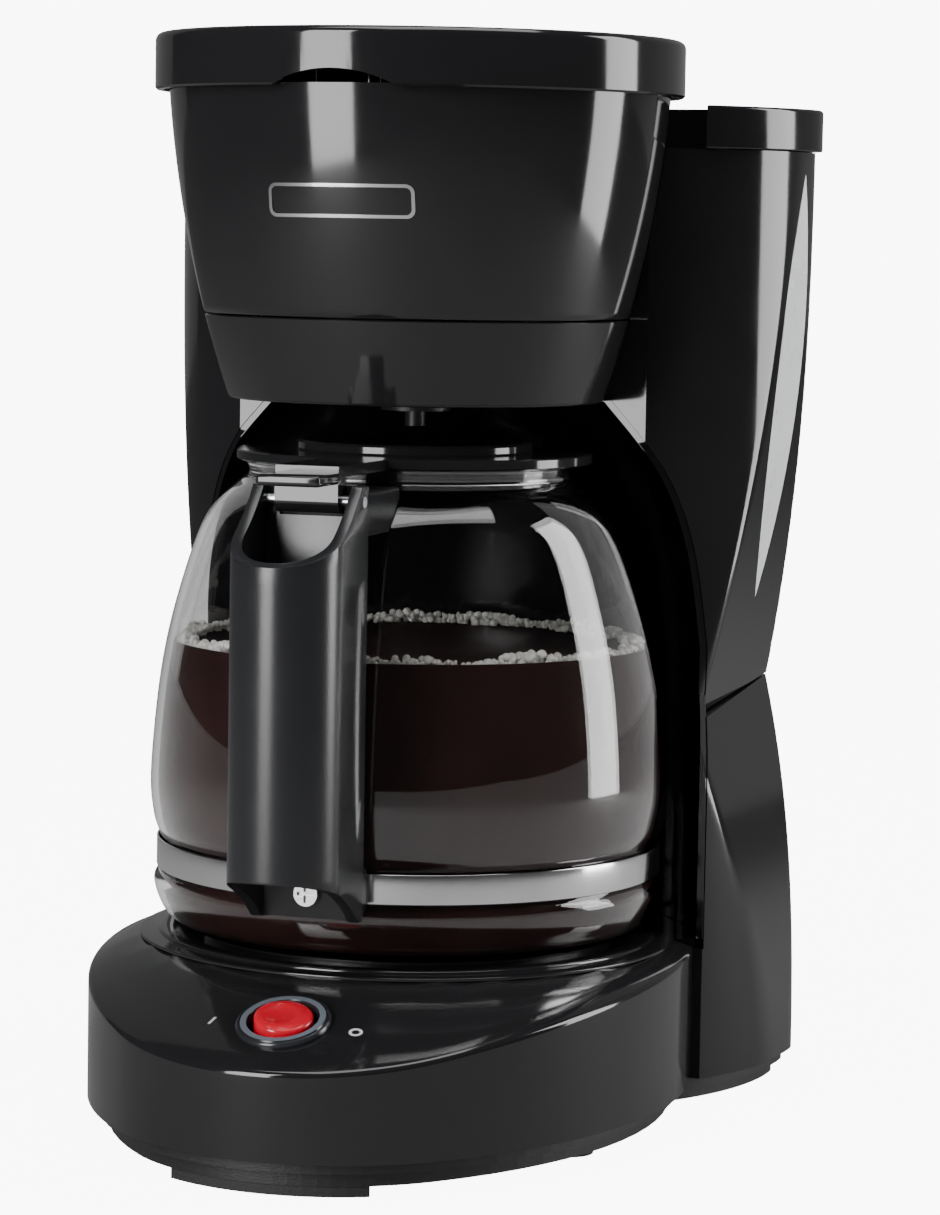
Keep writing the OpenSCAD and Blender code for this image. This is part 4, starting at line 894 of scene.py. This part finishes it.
def window_marks():
    """Cup numbers and dots down the water window."""
    top, bottom = high("water_window")[2] - 17 * MM, low("water_window")[2] + 15 * MM
    y, d = WINDOW_Y, 1 * MM
    for i in range(11):
        z = top + (bottom - top) * i / 10
        slope_y = (side_x(y + d, z) - side_x(y - d, z)) / (2 * d)
        slope_z = (side_x(y, z + d) - side_x(y, z - d)) / (2 * d)
        normal = Vector((1, -slope_y, -slope_z)).normalized()
        up = (Vector((0, 0, 1)) - normal * normal.z).normalized()
        across = up.cross(normal)
        place = Vector((side_x(y, z), y + AXIS_Y, z)) - normal * 0.28 * MM
        if i % 2 == 0:
            obj = new_piece("number", bpy.ops.object.text_add)
            obj.data.body = str(12 - i)
            obj.data.size = 6.4 * MM
            obj.data.extrude = 0.14 * MM
            obj.data.align_x = "CENTER"
            obj.data.align_y = "CENTER"
            bpy.ops.object.convert(target="MESH")
            obj = bpy.context.active_object
        else:
            obj = new_piece("dot", bpy.ops.mesh.primitive_cylinder_add, vertices=32, radius=0.8 * MM, depth=0.28 * MM)
        obj.name = "cup_mark_%d" % i
        obj.matrix_world = Matrix(((across.x, up.x, normal.x, place.x), (across.y, up.y, normal.y, place.y),
                                   (across.z, up.z, normal.z, place.z), (0, 0, 0, 1)))
        bake_place(obj)
        dress(obj, SCALE_PRINT, "housing")


# ---------- Stage and camera ----------

def light(name, place, aim, size, power, colour=(1, 1, 1)):
    data = bpy.data.lights.new(name, "AREA")
    data.shape = "RECTANGLE"
    data.size, data.size_y = size
    data.energy = power
    data.color = colour
    obj = bpy.data.objects.new(name, data)
    bpy.context.collection.objects.link(obj)
    turn = (Vector(aim) - Vector(place)).to_track_quat("-Z", "Y").to_matrix().to_4x4()
    obj.matrix_world = Matrix.Translation(place) @ turn
    return obj


def polar(azimuth, distance, z):
    a = math.radians(azimuth)
    return (distance * math.sin(a), AXIS_Y - distance * math.cos(a), z)


def plain(name, colour, seen, cast):
    """A pale stage sheet: bright where it is looked at, dim through glass, dimmest where it lights the part."""
    mat = bpy.data.materials.new(name)
    mat.use_nodes = True
    tree = mat.node_tree
    base = tree.nodes["Principled BSDF"]
    base.inputs["Base Color"].default_value = (*colour, 1)
    base.inputs["Roughness"].default_value = 0.8
    base.inputs["Emission Color"].default_value = (1, 1, 1, 1)
    path = tree.nodes.new("ShaderNodeLightPath")
    through_glass = 0.08
    share = tree.nodes.new("ShaderNodeMath")
    share.operation = "MULTIPLY_ADD"
    tree.links.new(path.outputs["Is Transmission Ray"], share.inputs[0])
    share.inputs[1].default_value = through_glass
    tree.links.new(path.outputs["Is Camera Ray"], share.inputs[2])
    level = tree.nodes.new("ShaderNodeMath")
    level.operation = "MULTIPLY_ADD"
    level.inputs[1].default_value = seen - cast
    level.inputs[2].default_value = cast
    tree.links.new(share.outputs[0], level.inputs[0])
    tree.links.new(level.outputs[0], base.inputs["Emission Strength"])
    return mat


def sheet(name, size, place, turn=0.0):
    obj = new_piece(name, bpy.ops.mesh.primitive_plane_add, size=1)
    obj.scale = (size[0], size[1], 1)
    obj.rotation_euler = (turn, 0, 0)
    obj.location = place
    bake_place(obj)
    return obj


def stage():
    floor = sheet("floor", (14, 10), (0, 1.0, 0))
    brightness = 9.0
    floor.data.materials.append(plain("pale_floor", (0.3, 0.3, 0.3), brightness, 0.03))
    backdrop = sheet("backdrop", (14, 6), (0, 3.4, 2.0), math.pi / 2)
    backdrop.data.materials.append(plain("pale_backdrop", (0.9, 0.9, 0.9), brightness, 0.12))
    world = bpy.data.worlds.new("studio")
    bpy.context.scene.world = world
    world.use_nodes = True
    world.node_tree.nodes["Background"].inputs[0].default_value = (0.5, 0.5, 0.5, 1)
    world.node_tree.nodes["Background"].inputs[1].default_value = 0.06
    light("softbox_left", polar(-21, 1.15, 0.25), (0, 0, 0.16), (0.42, 1.5), 26)
    light("softbox_right", polar(112, 1.0, 0.35), (0, 0, 0.15), (0.34, 1.2), 13)
    light("softbox_top", (0.1, -0.1, 1.2), (0, 0, 0.1), (0.9, 0.7), 9)


def camera():
    """Stands 1.15 m from the carafe, 18 degrees to its right, and looks slightly down."""
    turn, pitch, roll = math.radians(18), math.radians(5.46), math.radians(1.0)
    ahead = Vector((-math.sin(turn), math.cos(turn), 0))
    right = Vector((math.cos(turn), math.sin(turn), 0))
    up = Vector((0, 0, 1))
    away, aside, height = 1.15, 0.0167, 0.256
    place = -ahead * away + right * aside + Vector((0, AXIS_Y, height))
    look = ahead * math.cos(pitch) - up * math.sin(pitch)
    tall = ahead * math.sin(pitch) + up * math.cos(pitch)
    side = right * math.cos(roll) + tall * math.sin(roll)
    head = tall * math.cos(roll) - right * math.sin(roll)
    data = bpy.data.cameras.new("camera")
    data.lens = 118.5
    data.sensor_width = 36
    obj = bpy.data.objects.new("camera", data)
    bpy.context.collection.objects.link(obj)
    obj.matrix_world = Matrix(((side.x, head.x, -look.x, place.x), (side.y, head.y, -look.y, place.y),
                               (side.z, head.z, -look.z, place.z), (0, 0, 0, 1)))
    bpy.context.scene.camera = obj


camera()
stage()
finish_nodes()
base_housing()
plate_ring()
tower_upper()
tower_lower()
bay_wall()
head_shells()
nameplate()
brew_lid()
tank_lid()
coffee_edge, coffee_level = coffee_fill(carafe_glass())
froth(coffee_edge, coffee_level)
steel_band()
carafe_handle()
carafe_lid()
switch()
panel_mark("on_mark", size=(0.8 * MM, 3.6 * MM, 0.1 * MM), x=-20.5 * MM)
panel_mark("off_mark", x=20.5 * MM, profile=[(1.1 * MM, 0), (1.9 * MM, 0), (1.9 * MM, 0.06 * MM), (1.1 * MM, 0.06 * MM),
                                            (1.1 * MM, 0)])
window_marks()

bpy.context.view_layer.update()
